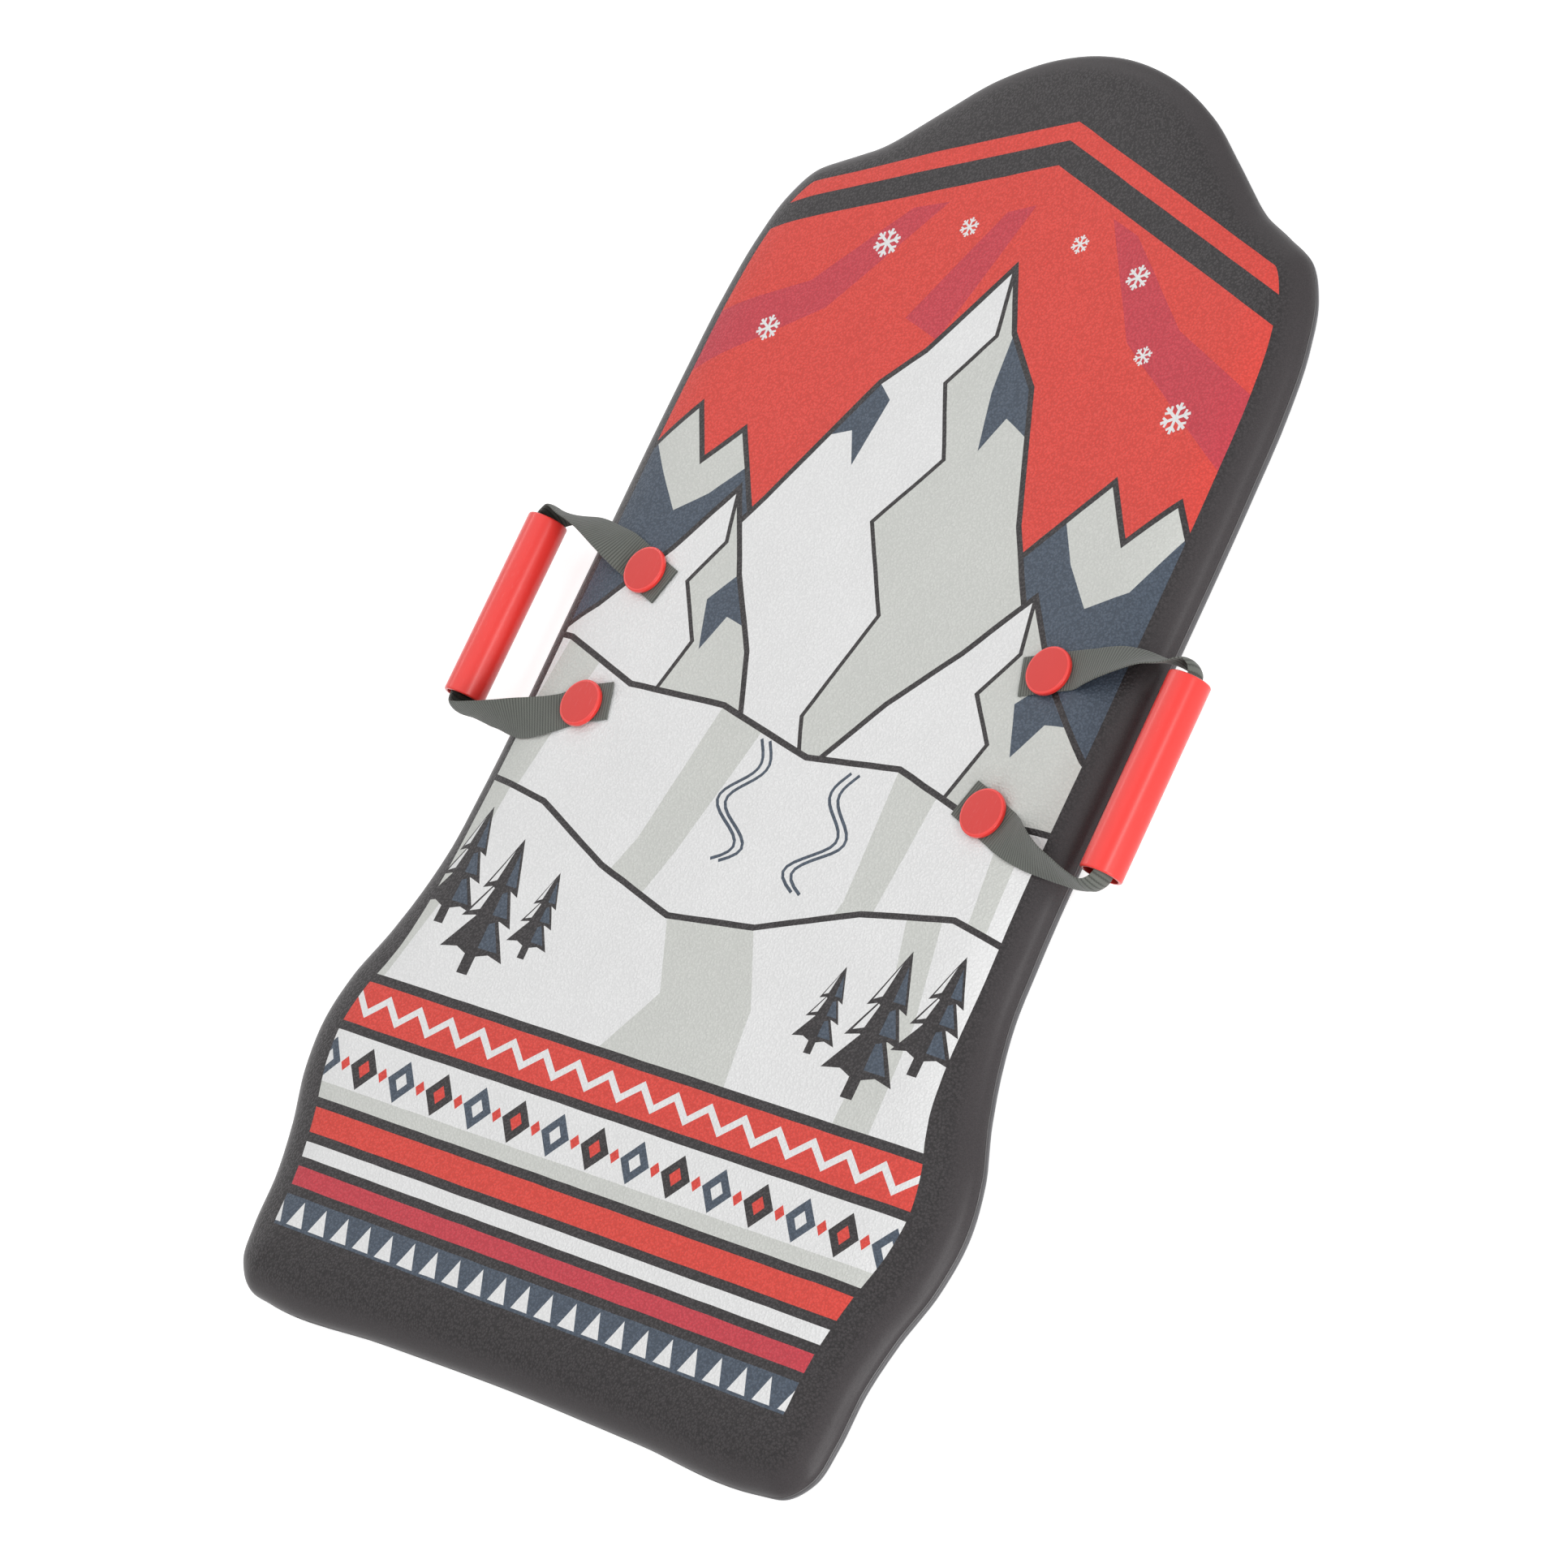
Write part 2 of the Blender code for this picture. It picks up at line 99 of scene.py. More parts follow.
class Graph:
    """A shader node tree, with short ways to add the nodes that the finishes use."""

    def __init__(self, tree: NodeTree) -> None:
        """Take the tree that the nodes go into."""
        self.tree = tree

    def feed(self, node: Node, inputs: Inputs) -> Node:
        """Set or link a node's inputs.

        Args:
            node: The node.
            inputs: Values or sockets, by the input's name or number.

        Returns:
            The node.
        """
        for name, value in inputs.items():
            socket = node.inputs[name]
            if isinstance(value, NodeSocket):
                self.tree.links.new(value, socket)
            else:
                socket.default_value = value
        return node

    def add(self, kind: str, inputs: Inputs | None = None, **settings: object) -> Node:
        """Add one shader node.

        Args:
            kind: The node's type name after "ShaderNode".
            inputs: Values or sockets for its inputs.
            settings: Attributes of the node itself.

        Returns:
            The new node.
        """
        made = self.tree.nodes.new(f"ShaderNode{kind}")
        for name, value in settings.items():
            setattr(made, name, value)
        return self.feed(made, inputs or {})

    def math(self, operation: str, *values: object) -> NodeSocket:
        """Output of a math node with these numbers or sockets as its inputs, in order."""
        return self.add("Math", dict(enumerate(values)), operation=operation).outputs[0]

    def stretch(self, place: NodeSocket, factors: object) -> NodeSocket:
        """A place scaled along each axis by its own factor."""
        return self.add("VectorMath", {0: place, 1: factors}, operation="MULTIPLY").outputs[0]

    def noise(self, place: NodeSocket, scale: object, detail: float = 2.0,
              rough: float = 0.5) -> Node:
        """Noise texture over a place."""
        return self.add("TexNoise", {"Vector": place, "Scale": scale, "Detail": detail,
                                     "Roughness": rough})

    def ramp(self, value: NodeSocket, low: float, high: float, start: float = 0.0,
             end: float = 1.0) -> NodeSocket:
        """A value mapped smoothly from the range low to high onto the one from start to end."""
        inputs = {"Value": value, "From Min": low, "From Max": high, "To Min": start, "To Max": end}
        return self.add("MapRange", inputs, interpolation_type="SMOOTHSTEP").outputs["Result"]

    def mix(self, share: NodeSocket, first: object, second: object) -> NodeSocket:
        """First colour with a share of the second over it."""
        return self.add("Mix", {0: share, 6: first, 7: second}, data_type="RGBA").outputs[2]

    def group(self, group: NodeTree, **inputs: object) -> Node:
        """Effect group with values or sockets for its inputs, with underscores for spaces."""
        named = {name.replace("_", " "): value for name, value in inputs.items()}
        return self.add("Group", named, node_tree=group)


class EffectGroups:
    """Shader node groups for the effects that several finishes share, each built once."""

    def __init__(self) -> None:
        """Build the groups."""
        self.pebble = self._pebble_grain()
        self.mottle = self._mottle()
        self.scuffs = self._scuffs()

    @staticmethod
    def _start(name: str, inputs: dict[str, tuple[str, object]], outputs: dict[str, str]
               ) -> tuple[Graph, Node, Node]:
        """Make an empty group with its sockets.

        Args:
            name: The group's name.
            inputs: Socket type, after "NodeSocket", and default of each input.
            outputs: Socket type of each output.

        Returns:
            The group's nodes, its input node and its output node.
        """
        tree = bpy.data.node_groups.new(name, "ShaderNodeTree")
        new = tree.interface.new_socket
        for title, (kind, value) in inputs.items():
            socket = new(title, in_out="INPUT", socket_type=f"NodeSocket{kind}")
            if value is not None:
                socket.default_value = value
        for title, kind in outputs.items():
            new(title, in_out="OUTPUT", socket_type=f"NodeSocket{kind}")
        return Graph(tree), tree.nodes.new("NodeGroupInput"), tree.nodes.new("NodeGroupOutput")

    def _pebble_grain(self) -> NodeTree:
        """Embossed pebble grain: rounded cells with a little waviness between them.

        Returns:
            The group, with Height and Cells outputs.
        """
        graph, given, result = self._start(
            "Pebble grain",
            {"Place": ("Vector", None), "Cells per metre": ("Float", 600.0),
             "Fade": ("Float", 1.0)},
            {"Height": "Float", "Cells": "Float"})
        place, density, fade = given.outputs[:3]
        swirl = graph.noise(place, graph.math("MULTIPLY", density, 0.55))
        shifted = graph.stretch(swirl.outputs["Color"], (0.0012, 0.0012, 0.0012))
        bent = graph.add("VectorMath", {0: place, 1: shifted}, operation="ADD").outputs[0]
        cells = graph.add("TexVoronoi", {"Vector": bent, "Scale": density, "Smoothness": 0.35},
                          feature="SMOOTH_F1")
        dome = graph.ramp(cells.outputs["Distance"], 0.15, 0.75, 1.0, 0.0)
        height = graph.math("MULTIPLY", dome, 0.7)
        height = graph.math("MULTIPLY_ADD", swirl.outputs[0], 0.5, height)
        graph.feed(result, {"Height": graph.math("MULTIPLY", height, fade),
                            "Cells": graph.math("MULTIPLY", dome, fade)})
        return graph.tree

    def _mottle(self) -> NodeTree:
        """Cloudy variation of a colour, as ink, foam and moulded plastic have.

        Returns:
            The group, with a Colour output.
        """
        graph, given, result = self._start(
            "Mottle",
            {"Colour": ("Color", (0.5, 0.5, 0.5, 1.0)), "Place": ("Vector", None),
             "Scale": ("Float", 40.0), "Amount": ("Float", 0.05)},
            {"Colour": "Color"})
        colour, place, scale, amount = given.outputs[:4]
        clouds = graph.noise(place, scale, 5.0, 0.6).outputs[0]
        swing = graph.math("MULTIPLY", graph.math("SUBTRACT", clouds, 0.5), amount)
        value = graph.math("MULTIPLY_ADD", swing, 2.0, 1.0)
        tinted = graph.add("HueSaturation", {"Color": colour, "Value": value}).outputs[0]
        graph.feed(result, {"Colour": tinted})
        return graph.tree

    def _scuffs(self) -> NodeTree:
        """Fine scratches that run one way, as sliding and rubbing leave.

        Returns:
            The group, with a Mask output.
        """
        graph, given, result = self._start(
            "Scuffs",
            {"Place": ("Vector", None), "Stretch": ("Vector", (1.0, 0.03, 1.0)),
             "Scale": ("Float", 900.0), "Cover": ("Float", 0.3)},
            {"Mask": "Float"})
        place, factors, scale, cover = given.outputs[:4]
        lines = graph.noise(graph.stretch(place, factors), scale, 3.0, 0.65).outputs[0]
        patches = graph.ramp(graph.noise(place, 14.0).outputs[0], 0.42, 0.68)
        mask = graph.math("MULTIPLY", graph.ramp(lines, 0.56, 0.72), patches)
        graph.feed(result, {"Mask": graph.math("MULTIPLY", mask, cover)})
        return graph.tree


# Finishes


@dataclass(frozen=True)
class Finish:
    """A finish with one shader: its colour, roughness and the depth of its relief."""

    name: str
    colour: Colour
    roughness: float
    relief: float = 0.0002

    def shade(self, factor: float = 1.0, lift: float = 0.0) -> tuple[float, ...]:
        """The colour made darker or paler, with its alpha."""
        return (*(min(1.0, factor * c + lift) for c in self.colour), 1.0)

    def start(self) -> tuple[Material, Graph, NodeSocket]:
        """Start the material.

        Returns:
            The material, its nodes and the place on the piece.
        """
        material = bpy.data.materials.new(self.name)
        material.use_nodes = True
        graph = Graph(material.node_tree)
        return material, graph, graph.add("TexCoord").outputs["Object"]

    def dress(self, graph: Graph, inputs: Inputs, height: NodeSocket, strength: float = 1) -> None:
        """Feed the shader's inputs, with a relief of this height and strength in its normal."""
        bump = graph.add("Bump", {"Height": height, "Distance": self.relief, "Strength": strength})
        graph.feed(graph.tree.nodes["Principled BSDF"], {**inputs, "Normal": bump.outputs[0]})


@dataclass(frozen=True)
class LaminateFinish(Finish):
    """Deck laminate in one ink: embossed pebble grain that fades out over the rolled rail."""

    cells: float = 620.0
    fibres: float = 1500.0
    # How dark the painted shade in the grain's hollows and the fibre specks go.
    contrast: float = 0.10
    rail_fade: tuple[float, ...] = (0.005, 0.018, 0.06, 1.0)
    rail_gloss: tuple[float, ...] = (0.004, 0.016, -0.12, 0.0)

    def material(self, groups: EffectGroups) -> Material:
        """Build the material.

        Args:
            groups: The shared effects.

        Returns:
            The finished material.
        """
        material, graph, place = self.start()
        inset = graph.add("Attribute", attribute_name="rail_inset").outputs["Fac"]
        fade = graph.ramp(inset, *self.rail_fade)
        grain = graph.group(groups.pebble, Place=place, Cells_per_metre=self.cells, Fade=fade)
        fibre = graph.noise(place, self.fibres).outputs[0]
        ink = graph.group(groups.mottle, Colour=self.shade(), Place=place, Scale=26.0, Amount=0.05)
        # Painted shade: the colour darkens in the hollows between the grain's cells.
        between = graph.math("SUBTRACT", fade, grain.outputs["Cells"])
        hollow_shade = graph.math("SUBTRACT", 1.0, graph.math("MULTIPLY", between, self.contrast))
        swing = graph.math("SUBTRACT", fibre, 0.5)
        speck_and_shade = graph.math("MULTIPLY_ADD", swing, 2.0 * self.contrast, hollow_shade)
        toned = graph.add("HueSaturation", {"Color": ink.outputs[0], "Value": speck_and_shade}).outputs[0]
        rough = self.roughness
        gloss = graph.ramp(grain.outputs["Cells"], 0.0, 1.0, rough + 0.08, rough - 0.06)
        rail = graph.ramp(inset, *self.rail_gloss)
        self.dress(graph, {"Base Color": toned, "Roughness": graph.math("ADD", gloss, rail),
                           "Specular IOR Level": 0.32}, grain.outputs["Height"])
        return material


@dataclass(frozen=True)
class SlickFinish(Finish):
    """Smooth polyethylene sheet with faint draw lines along the sled and light scuffs."""

    draw_lines: float = 160.0

    def material(self, groups: EffectGroups) -> Material:
        """Build the material.

        Args:
            groups: The shared effects.

        Returns:
            The finished material.
        """
        material, graph, place = self.start()
        scuffs = graph.group(groups.scuffs, Place=place, Scale=700.0, Cover=0.5).outputs["Mask"]
        tone = graph.group(groups.mottle, Colour=self.shade(), Place=place, Scale=18.0, Amount=0.06)
        lines = graph.noise(graph.stretch(place, (1.0, 0.04, 1.0)), self.draw_lines, 3.0).outputs[0]
        self.dress(graph, {"Base Color": graph.mix(scuffs, tone.outputs[0], self.shade(2.1, 0.02)),
                           "Roughness": graph.math("MULTIPLY_ADD", scuffs, 0.35, self.roughness)},
                   graph.math("SUBTRACT", lines, scuffs), 0.5)
        return material


@dataclass(frozen=True)
class FoamFinish(Finish):
    """Closed-cell foam: fused beads with painted shade in the seams between them."""

    beads: float = 300.0

    def material(self, groups: EffectGroups) -> Material:
        """Build the material.

        Args:
            groups: The shared effects.

        Returns:
            The finished material.
        """
        material, graph, place = self.start()
        beads = graph.group(groups.pebble, Place=place, Cells_per_metre=self.beads, Fade=1.0)
        tone = graph.group(groups.mottle, Colour=self.shade(), Place=place, Scale=60.0, Amount=0.1)
        # Painted shade: the colour darkens in the seams, where the beads' relief is low.
        seam_shade = graph.ramp(beads.outputs["Cells"], 0.0, 0.45, 0.7, 0.0)
        self.dress(graph, {"Base Color": graph.mix(seam_shade, tone.outputs[0], self.shade(0.45)),
                           "Roughness": self.roughness}, beads.outputs["Height"])
        return material


@dataclass(frozen=True)
class PlasticFinish(Finish):
    """Satin moulded plastic with a fine spark-eroded texture and a few rub marks."""

    texture: float = 2600.0
    coat: float = 0.6
    coat_roughness: float = 0.3
    specular: float = 0.25

    def material(self, groups: EffectGroups) -> Material:
        """Build the material.

        Args:
            groups: The shared effects.

        Returns:
            The finished material.
        """
        material, graph, place = self.start()
        tone = graph.group(groups.mottle, Colour=self.shade(), Place=place, Scale=55.0,
                           Amount=0.035)
        rub = graph.group(groups.scuffs, Place=place, Stretch=(1.0, 0.2, 1.0), Scale=900.0,
                          Cover=0.22).outputs["Mask"]
        fine = graph.noise(place, self.texture).outputs[0]
        rough = graph.ramp(fine, 0.3, 0.7, self.roughness - 0.04, self.roughness + 0.05)
        self.dress(graph, {"Base Color": graph.mix(rub, tone.outputs[0], self.shade(0.8, 0.18)),
                           "Roughness": graph.math("MULTIPLY_ADD", rub, 0.3, rough),
                           "Specular IOR Level": self.specular, "Coat Weight": self.coat,
                           "Coat Roughness": self.coat_roughness}, fine, 0.35)
        return material


@dataclass(frozen=True)
class WebbingFinish(Finish):
    """Plain woven polyester webbing: weft ribs across it and warp yarns along it."""

    rib: float = 1.9 * MM
    yarn: float = 0.85 * MM
    half_step: float = 0.03 * math.pi
    fuzz: float = 2400.0

    def material(self, groups: EffectGroups) -> Material:
        """Build the material.

        Args:
            groups: The shared effects.

        Returns:
            The finished material.
        """
        material, graph, _ = self.start()
        lay = graph.add("Attribute", attribute_name="weave_place").outputs["Vector"]
        along, across, _ = graph.add("SeparateXYZ", {0: lay}).outputs
        warp = graph.math("SINE", graph.math("MULTIPLY", across, math.pi / self.yarn))
        step = graph.math("MULTIPLY", graph.math("SIGN", warp), self.half_step)
        turns = graph.math("MULTIPLY_ADD", along, math.pi / self.rib, step)
        rib = graph.math("ABSOLUTE", graph.math("SINE", turns))
        yarn = graph.math("ABSOLUTE", warp)
        weave = graph.math("MULTIPLY_ADD", yarn, 0.2, graph.math("MULTIPLY", rib, 0.8))
        fuzz = graph.noise(lay, self.fuzz, 3.0).outputs[0]
        tone = graph.group(groups.mottle, Colour=self.shade(), Place=lay, Scale=90.0, Amount=0.12)
        # Painted shade: the colour darkens in the low gaps between ribs and yarns.
        gap_shade = graph.ramp(weave, 0.2, 0.85, 0.9, 0.0)
        self.dress(graph, {"Base Color": graph.mix(gap_shade, tone.outputs[0], self.shade(0.42)),
                           "Roughness": graph.ramp(weave, 0.0, 1.0, 0.95, self.roughness),
                           "Sheen Weight": 0.25, "Sheen Roughness": 0.45},
                   graph.math("MULTIPLY_ADD", fuzz, 0.25, weave))
        return material


# Curves and rings


def smooth_curve(values: Sequence[Vector], keys: Sequence[float], samples: int) -> list[Vector]:
    """Points on a smooth curve through given ones.

    Args:
        values: The given points.
        keys: Their spacing along the curve.
        samples: Points made for each span.

    Returns:
        The points of the curve.
    """
    slopes = [(b - a) / (v - u) for a, b, u, v in zip(values, values[1:], keys, keys[1:])]
    tangents = [slopes[0]]
    for before, after, u, v, w in zip(slopes, slopes[1:], keys, keys[1:], keys[2:]):
        tangents.append((before * (w - v) + after * (v - u)) / (w - u))
    tangents.append(slopes[-1])
    result = []
    for index, step in enumerate(v - u for u, v in zip(keys, keys[1:])):
        a, b = values[index], values[index + 1]
        for sample in range(samples):
            t = sample / samples
            rise = t * t * (3 - 2 * t)
            pull = tangents[index] * (t * (1 - t) ** 2) - tangents[index + 1] * (t * t * (1 - t))
            result.append(a + (b - a) * rise + pull * step)
    result.append(values[-1].copy())
    return result


def lengths_along(points: Sequence[Vector]) -> list[float]:
    """Distance along a line of points.

    Args:
        points: The points.

    Returns:
        The distance from the first point to each point.
    """
    keys = [0.0]
    for a, b in zip(points, points[1:]):
        keys.append(keys[-1] + (b - a).length)
    return keys


def finish_mesh(name: str, bm: BMesh, materials: Sequence[Material],
                smooth_angle: float = 40.0) -> Object:
    """Turn a bmesh into a dressed object of the scene.

    Args:
        name: The object's name.
        bm: The mesh, which is freed.
        materials: The object's material slots.
        smooth_angle: Angle in degrees above which an edge stays sharp.

    Returns:
        The object.
    """
    mesh = bpy.data.meshes.new(name)
    bm.to_mesh(mesh)
    bm.free()
    mesh.shade_smooth()
    mesh.set_sharp_from_angle(angle=math.radians(smooth_angle))
    for material in materials:
        mesh.materials.append(material)
    obj = bpy.data.objects.new(name, mesh)
    bpy.context.scene.collection.objects.link(obj)
    return obj


def lathe(name: str, profile: Sequence[Point], steps: int, material: Material, place: Matrix,
          smooth_angle: float) -> Object:
    """Turn a closed profile about its axis.

    Args:
        name: The object's name.
        profile: Radius and height of each point, once round the section.
        steps: Faces round the axis.
        material: The piece's material.
        place: Where the piece stands.
        smooth_angle: Angle in degrees above which an edge stays sharp.

    Returns:
        The turned piece.
    """
    bm = bmesh.new()
    rings: list[list[BMVert]] = []
    for radius, height in profile:
        if radius < 1e-7:
            rings.append([bm.verts.new(place @ Vector((0.0, 0.0, height)))])
            continue
        turns = (2 * math.pi * k / steps for k in range(steps))
        rings.append([bm.verts.new(place @ Vector((radius * math.cos(t), radius * math.sin(t),
                                                   height))) for t in turns])
    closed = len(rings[0]) > 1 and len(rings[-1]) > 1
    pairs = list(zip(rings, rings[1:])) + ([(rings[-1], rings[0])] if closed else [])
    for upper, lower in pairs:
        for k in range(steps):
            corners = [upper[k % len(upper)], lower[k % len(lower)],
                       lower[(k + 1) % len(lower)], upper[(k + 1) % len(upper)]]
            bm.faces.new(list(dict.fromkeys(corners)))
    bmesh.ops.recalc_face_normals(bm, faces=bm.faces)
    return finish_mesh(name, bm, [material], smooth_angle)


def rounding(radius: float, steps: int) -> list[Point]:
    """Points of a rounded corner, from one face to the other, by their distances in from both."""
    turns = [math.radians(90 * k / steps) for k in range(steps + 1)]
    return [(radius * (1 - math.sin(t)), radius * (1 - math.cos(t))) for t in turns]


def bridge(bm: BMesh, first: Sequence[BMVert], second: Sequence[BMVert]) -> None:
    """Join two closed rings with a band of faces.

    Args:
        bm: Their mesh.
        first: One ring.
        second: The other, with as many vertices.
    """
    for k in range(len(first)):
        j = (k + 1) % len(first)
        bm.faces.new((first[k], first[j], second[j], second[k]))


def settle(obj: Object, body: str, slot: str, *nodes: str) -> Object:
    """Hang a piece on its body and hide the CAD nodes that it replaces.

    Args:
        obj: The piece.
        body: The CAD body that it moves with.
        slot: Not used.
        nodes: The CAD nodes that it replaces.

    Returns:
        The piece.
    """
    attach(obj, body)
    if nodes:
        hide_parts(*nodes)
    log.info("%s: %d faces, on %s", obj.name, len(obj.data.polygons), body)
    return obj


def dress_node(name: str, material: Material) -> None:
    """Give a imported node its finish, in place of the plain one.

    Args:
        name: The node.
        material: Its finish.
    """
    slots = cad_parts[name].data.materials
    slots.clear()
    slots.append(material)


# Board


@dataclass(frozen=True)
class BoardShape:
    """Sizes of the board, and the surfaces that follow from them."""

    thickness: float = 25.5 * MM
    roll: float = 47 * MM
    seam_height: float = 6 * MM
    nose_lift: float = 11.2 * MM
    nose_lift_start: float = 0.246
    nose_tip: float = 0.4455
    nose_spine: float = 0.300
    tail_spine: float = -0.225
    fineness: int = 40
    ring_slant: float = 2.2
    ring_halvings: int = 16
    plan: tuple[Point, ...] = (
        (0, 445.5), (45, 438.5), (86, 419.5), (125, 388.5), (157, 363), (180, 352), (201, 341),
        (215.5, 320), (225.2, 287), (230.4, 243), (232, 190), (232.4, 40), (233, -110),
        (235.4, -148), (241.5, -177), (251, -207), (265, -241), (271, -273), (267.5, -307),
        (256, -343), (249.5, -375), (248, -408), (243.5, -431), (230, -445), (208, -449),
        (110, -447), (0, -445.3))

    def outline(self, turn: float = math.radians(2.2), longest: float = 0.016) -> list[Vector]:
        """Closed plan outline, anticlockwise from above, from the nose tip.

        Args:
            turn: Turn that each point stands for.
            longest: Longest step between points.

        Returns:
            The outline's points.
        """
        side = [Vector(p) * MM for p in self.plan]
        mirrored = [Vector((-side[1].x, side[1].y))] + side + [Vector((-side[-2].x, side[-2].y))]
        fine = self.fineness
        curve = smooth_curve(mirrored, lengths_along(mirrored), fine)[fine:-fine]
        curve[0].x = curve[-1].x = 0.0
        half = [curve[0]]
        heading = (curve[1] - curve[0]).normalized()
        for here, after in zip(curve[1:], curve[2:]):
            if heading.angle(after - here) > turn or (here - half[-1]).length > longest:
                half.append(here)
                heading = (after - here).normalized()
        half.append(curve[-1])
        left = [Vector((-p.x, p.y)) for p in half[1:-1]]
        return [half[0]] + left + [half[-1]] + [p.copy() for p in reversed(half[1:-1])]

    def ring(self, outline: list[Vector], inset: float) -> list[Vector]:
        """A ring of points that all lie the same distance inside the outline.

        Args:
            outline: The plan outline.
            inset: Distance in from it.

        Returns:
            One point for each outline point, drawn in towards the middle line.
        """
        start = np.array([p[:] for p in outline])
        spine = np.zeros_like(start)
        spine[:, 1] = np.clip(start[:, 1], self.tail_spine, self.nose_spine)
        ahead = spine - start
        ahead /= np.linalg.norm(ahead, axis=1)[:, None]
        near, far = np.full(len(start), inset), np.full(len(start), self.ring_slant * inset)
        for _ in range(self.ring_halvings):
            middle = 0.5 * (near + far)
            short = distance_to(start + middle[:, None] * ahead, outline) < inset
            near, far = np.where(short, middle, near), np.where(short, far, middle)
        return [Vector(p) for p in start + near[:, None] * ahead]

    def lift(self, y: float) -> float:
        """Height of the underside above the snow at a place along the sled."""
        share = max(y - self.nose_lift_start, 0.0) / (self.nose_tip - self.nose_lift_start)
        return self.nose_lift * share * share

    def deck_height(self, y: float, inset: float) -> float:
        """Height of the deck.

        Args:
            y: Place along the sled.
            inset: Distance in from the outline.

        Returns:
            The height above the snow.
        """
        tall = self.thickness - self.lift(y) - self.seam_height
        share = 1.0 - min(max(inset, 0.0) / self.roll, 1.0)
        return self.thickness - tall * (1.0 - math.sqrt(max(1.0 - share * share, 0.0)))


def distance_to(points: np.ndarray, outline: Sequence[Vector]) -> np.ndarray:
    """Shortest distance in plan from each point to a closed outline.

    Args:
        points: Points, one row each.
        outline: The outline's points.

    Returns:
        The distances.
    """
    start = np.array([p[:2] for p in outline])
    span = np.roll(start, -1, axis=0) - start
    square = np.einsum("ij,ij->i", span, span)
    best = np.full(len(points), 1.0)
    for a, d, s in zip(start, span, square):
        share = np.clip(((points - a) @ d) / s, 0.0, 1.0)
        best = np.minimum(best, np.linalg.norm(points - a - share[:, None] * d, axis=1))
    return best


def inside(points: np.ndarray, shape: Sequence[Vector]) -> np.ndarray:
    """Whether each point lies inside a closed shape, which may cross itself.

    Args:
        points: Points, one row each.
        shape: The shape's outline.

    Returns:
        True for each point that the outline winds round.
    """
    corners = np.array([p[:2] for p in shape])
    low, high = corners.min(axis=0), corners.max(axis=0)
    close = np.flatnonzero(np.all((points >= low) & (points <= high), axis=1))
    winding = np.zeros(len(close), dtype=int)
    x, y = points[close].T
    for (ax, ay), (bx, by) in zip(corners, np.roll(corners, -1, axis=0)):
        left = (bx - ax) * (y - ay) - (x - ax) * (by - ay)
        winding += ((ay <= y) & (by > y) & (left > 0)).astype(int)
        winding -= ((ay > y) & (by <= y) & (left < 0)).astype(int)
    result = np.zeros(len(points), dtype=bool)
    result[close[winding != 0]] = True
    return result


@dataclass(frozen=True)
class RivetPlan:
    """Where the four snap rivets stand, and their sizes."""

    x: float = 168.3 * MM
    spacing: float = 92.4 * MM
    middle_y: float = 7.1 * MM
    hole: float = 5.5 * MM
    hole_steps: int = 24
    head_radius: float = 15.4 * MM
    head_height: float = 3.4 * MM
    post: float = 5.0 * MM
    bore: float = 3.4 * MM
    dimple: float = 16.6 * MM
    dimple_wall: tuple[Point, ...] = (
        (16.2, 0.25), (15.95, 0.8), (15.9, 2.9), (15.6, 3.3), (5.5, 3.3))

    def places(self) -> dict[str, Point]:
        """Plan position of each rivet, by the end and side in its node's name."""
        return {f"{end}_{side.word}": (side.value * self.x, self.middle_y + step * self.spacing)
                for end, step in (("front", 0.5), ("rear", -0.5)) for side in Side}

    def circle(self, place: Point, radius: float, steps: int = 40) -> list[Vector]:
        """A plan circle round a rivet.

        Args:
            place: The rivet's plan position.
            radius: The circle's radius.
            steps: Points round it.

        Returns:
            The circle's points.
        """
        x, y = place
        turns = (2 * math.pi * k / steps for k in range(steps))
        return [Vector((x + radius * math.cos(t), y + radius * math.sin(t))) for t in turns]


# Artwork


LEAST_MITRE = 0.45  # keeps a sharp corner from growing long


def stroke(points: Sequence[Point], width: float) -> list[Point]:
    """Outline of a line drawn with a pen of even width, with mitred corners.

    Args:
        points: The line's points.
        width: The pen's width.

    Returns:
        The closed outline.
    """
    path = [Vector(p) for p in points]
    sides: tuple[list[Point], list[Point]] = ([], [])
    for index, here in enumerate(path):
        before = (here - path[index - 1]).normalized() if index else None
        after = (path[index + 1] - here).normalized() if index + 1 < len(path) else None
        heading = ((before or after) + (after or before)).normalized()
        normal = Vector((-heading.y, heading.x))
        edge = after or before
        reach = 0.5 * width / max(normal.dot(Vector((-edge.y, edge.x))), LEAST_MITRE)
        sides[0].append(tuple(here + normal * reach))
        sides[1].append(tuple(here - normal * reach))
    return sides[0] + sides[1][::-1]


def zigzag(left: float, right: float, base: float, rise: float, count: int) -> list[Point]:
    """A zigzag line from left to right, with this many teeth that rise from its base."""
    step = (right - left) / (2 * count)
    return [(left + k * step, base + rise * (k % 2)) for k in range(2 * count + 1)]


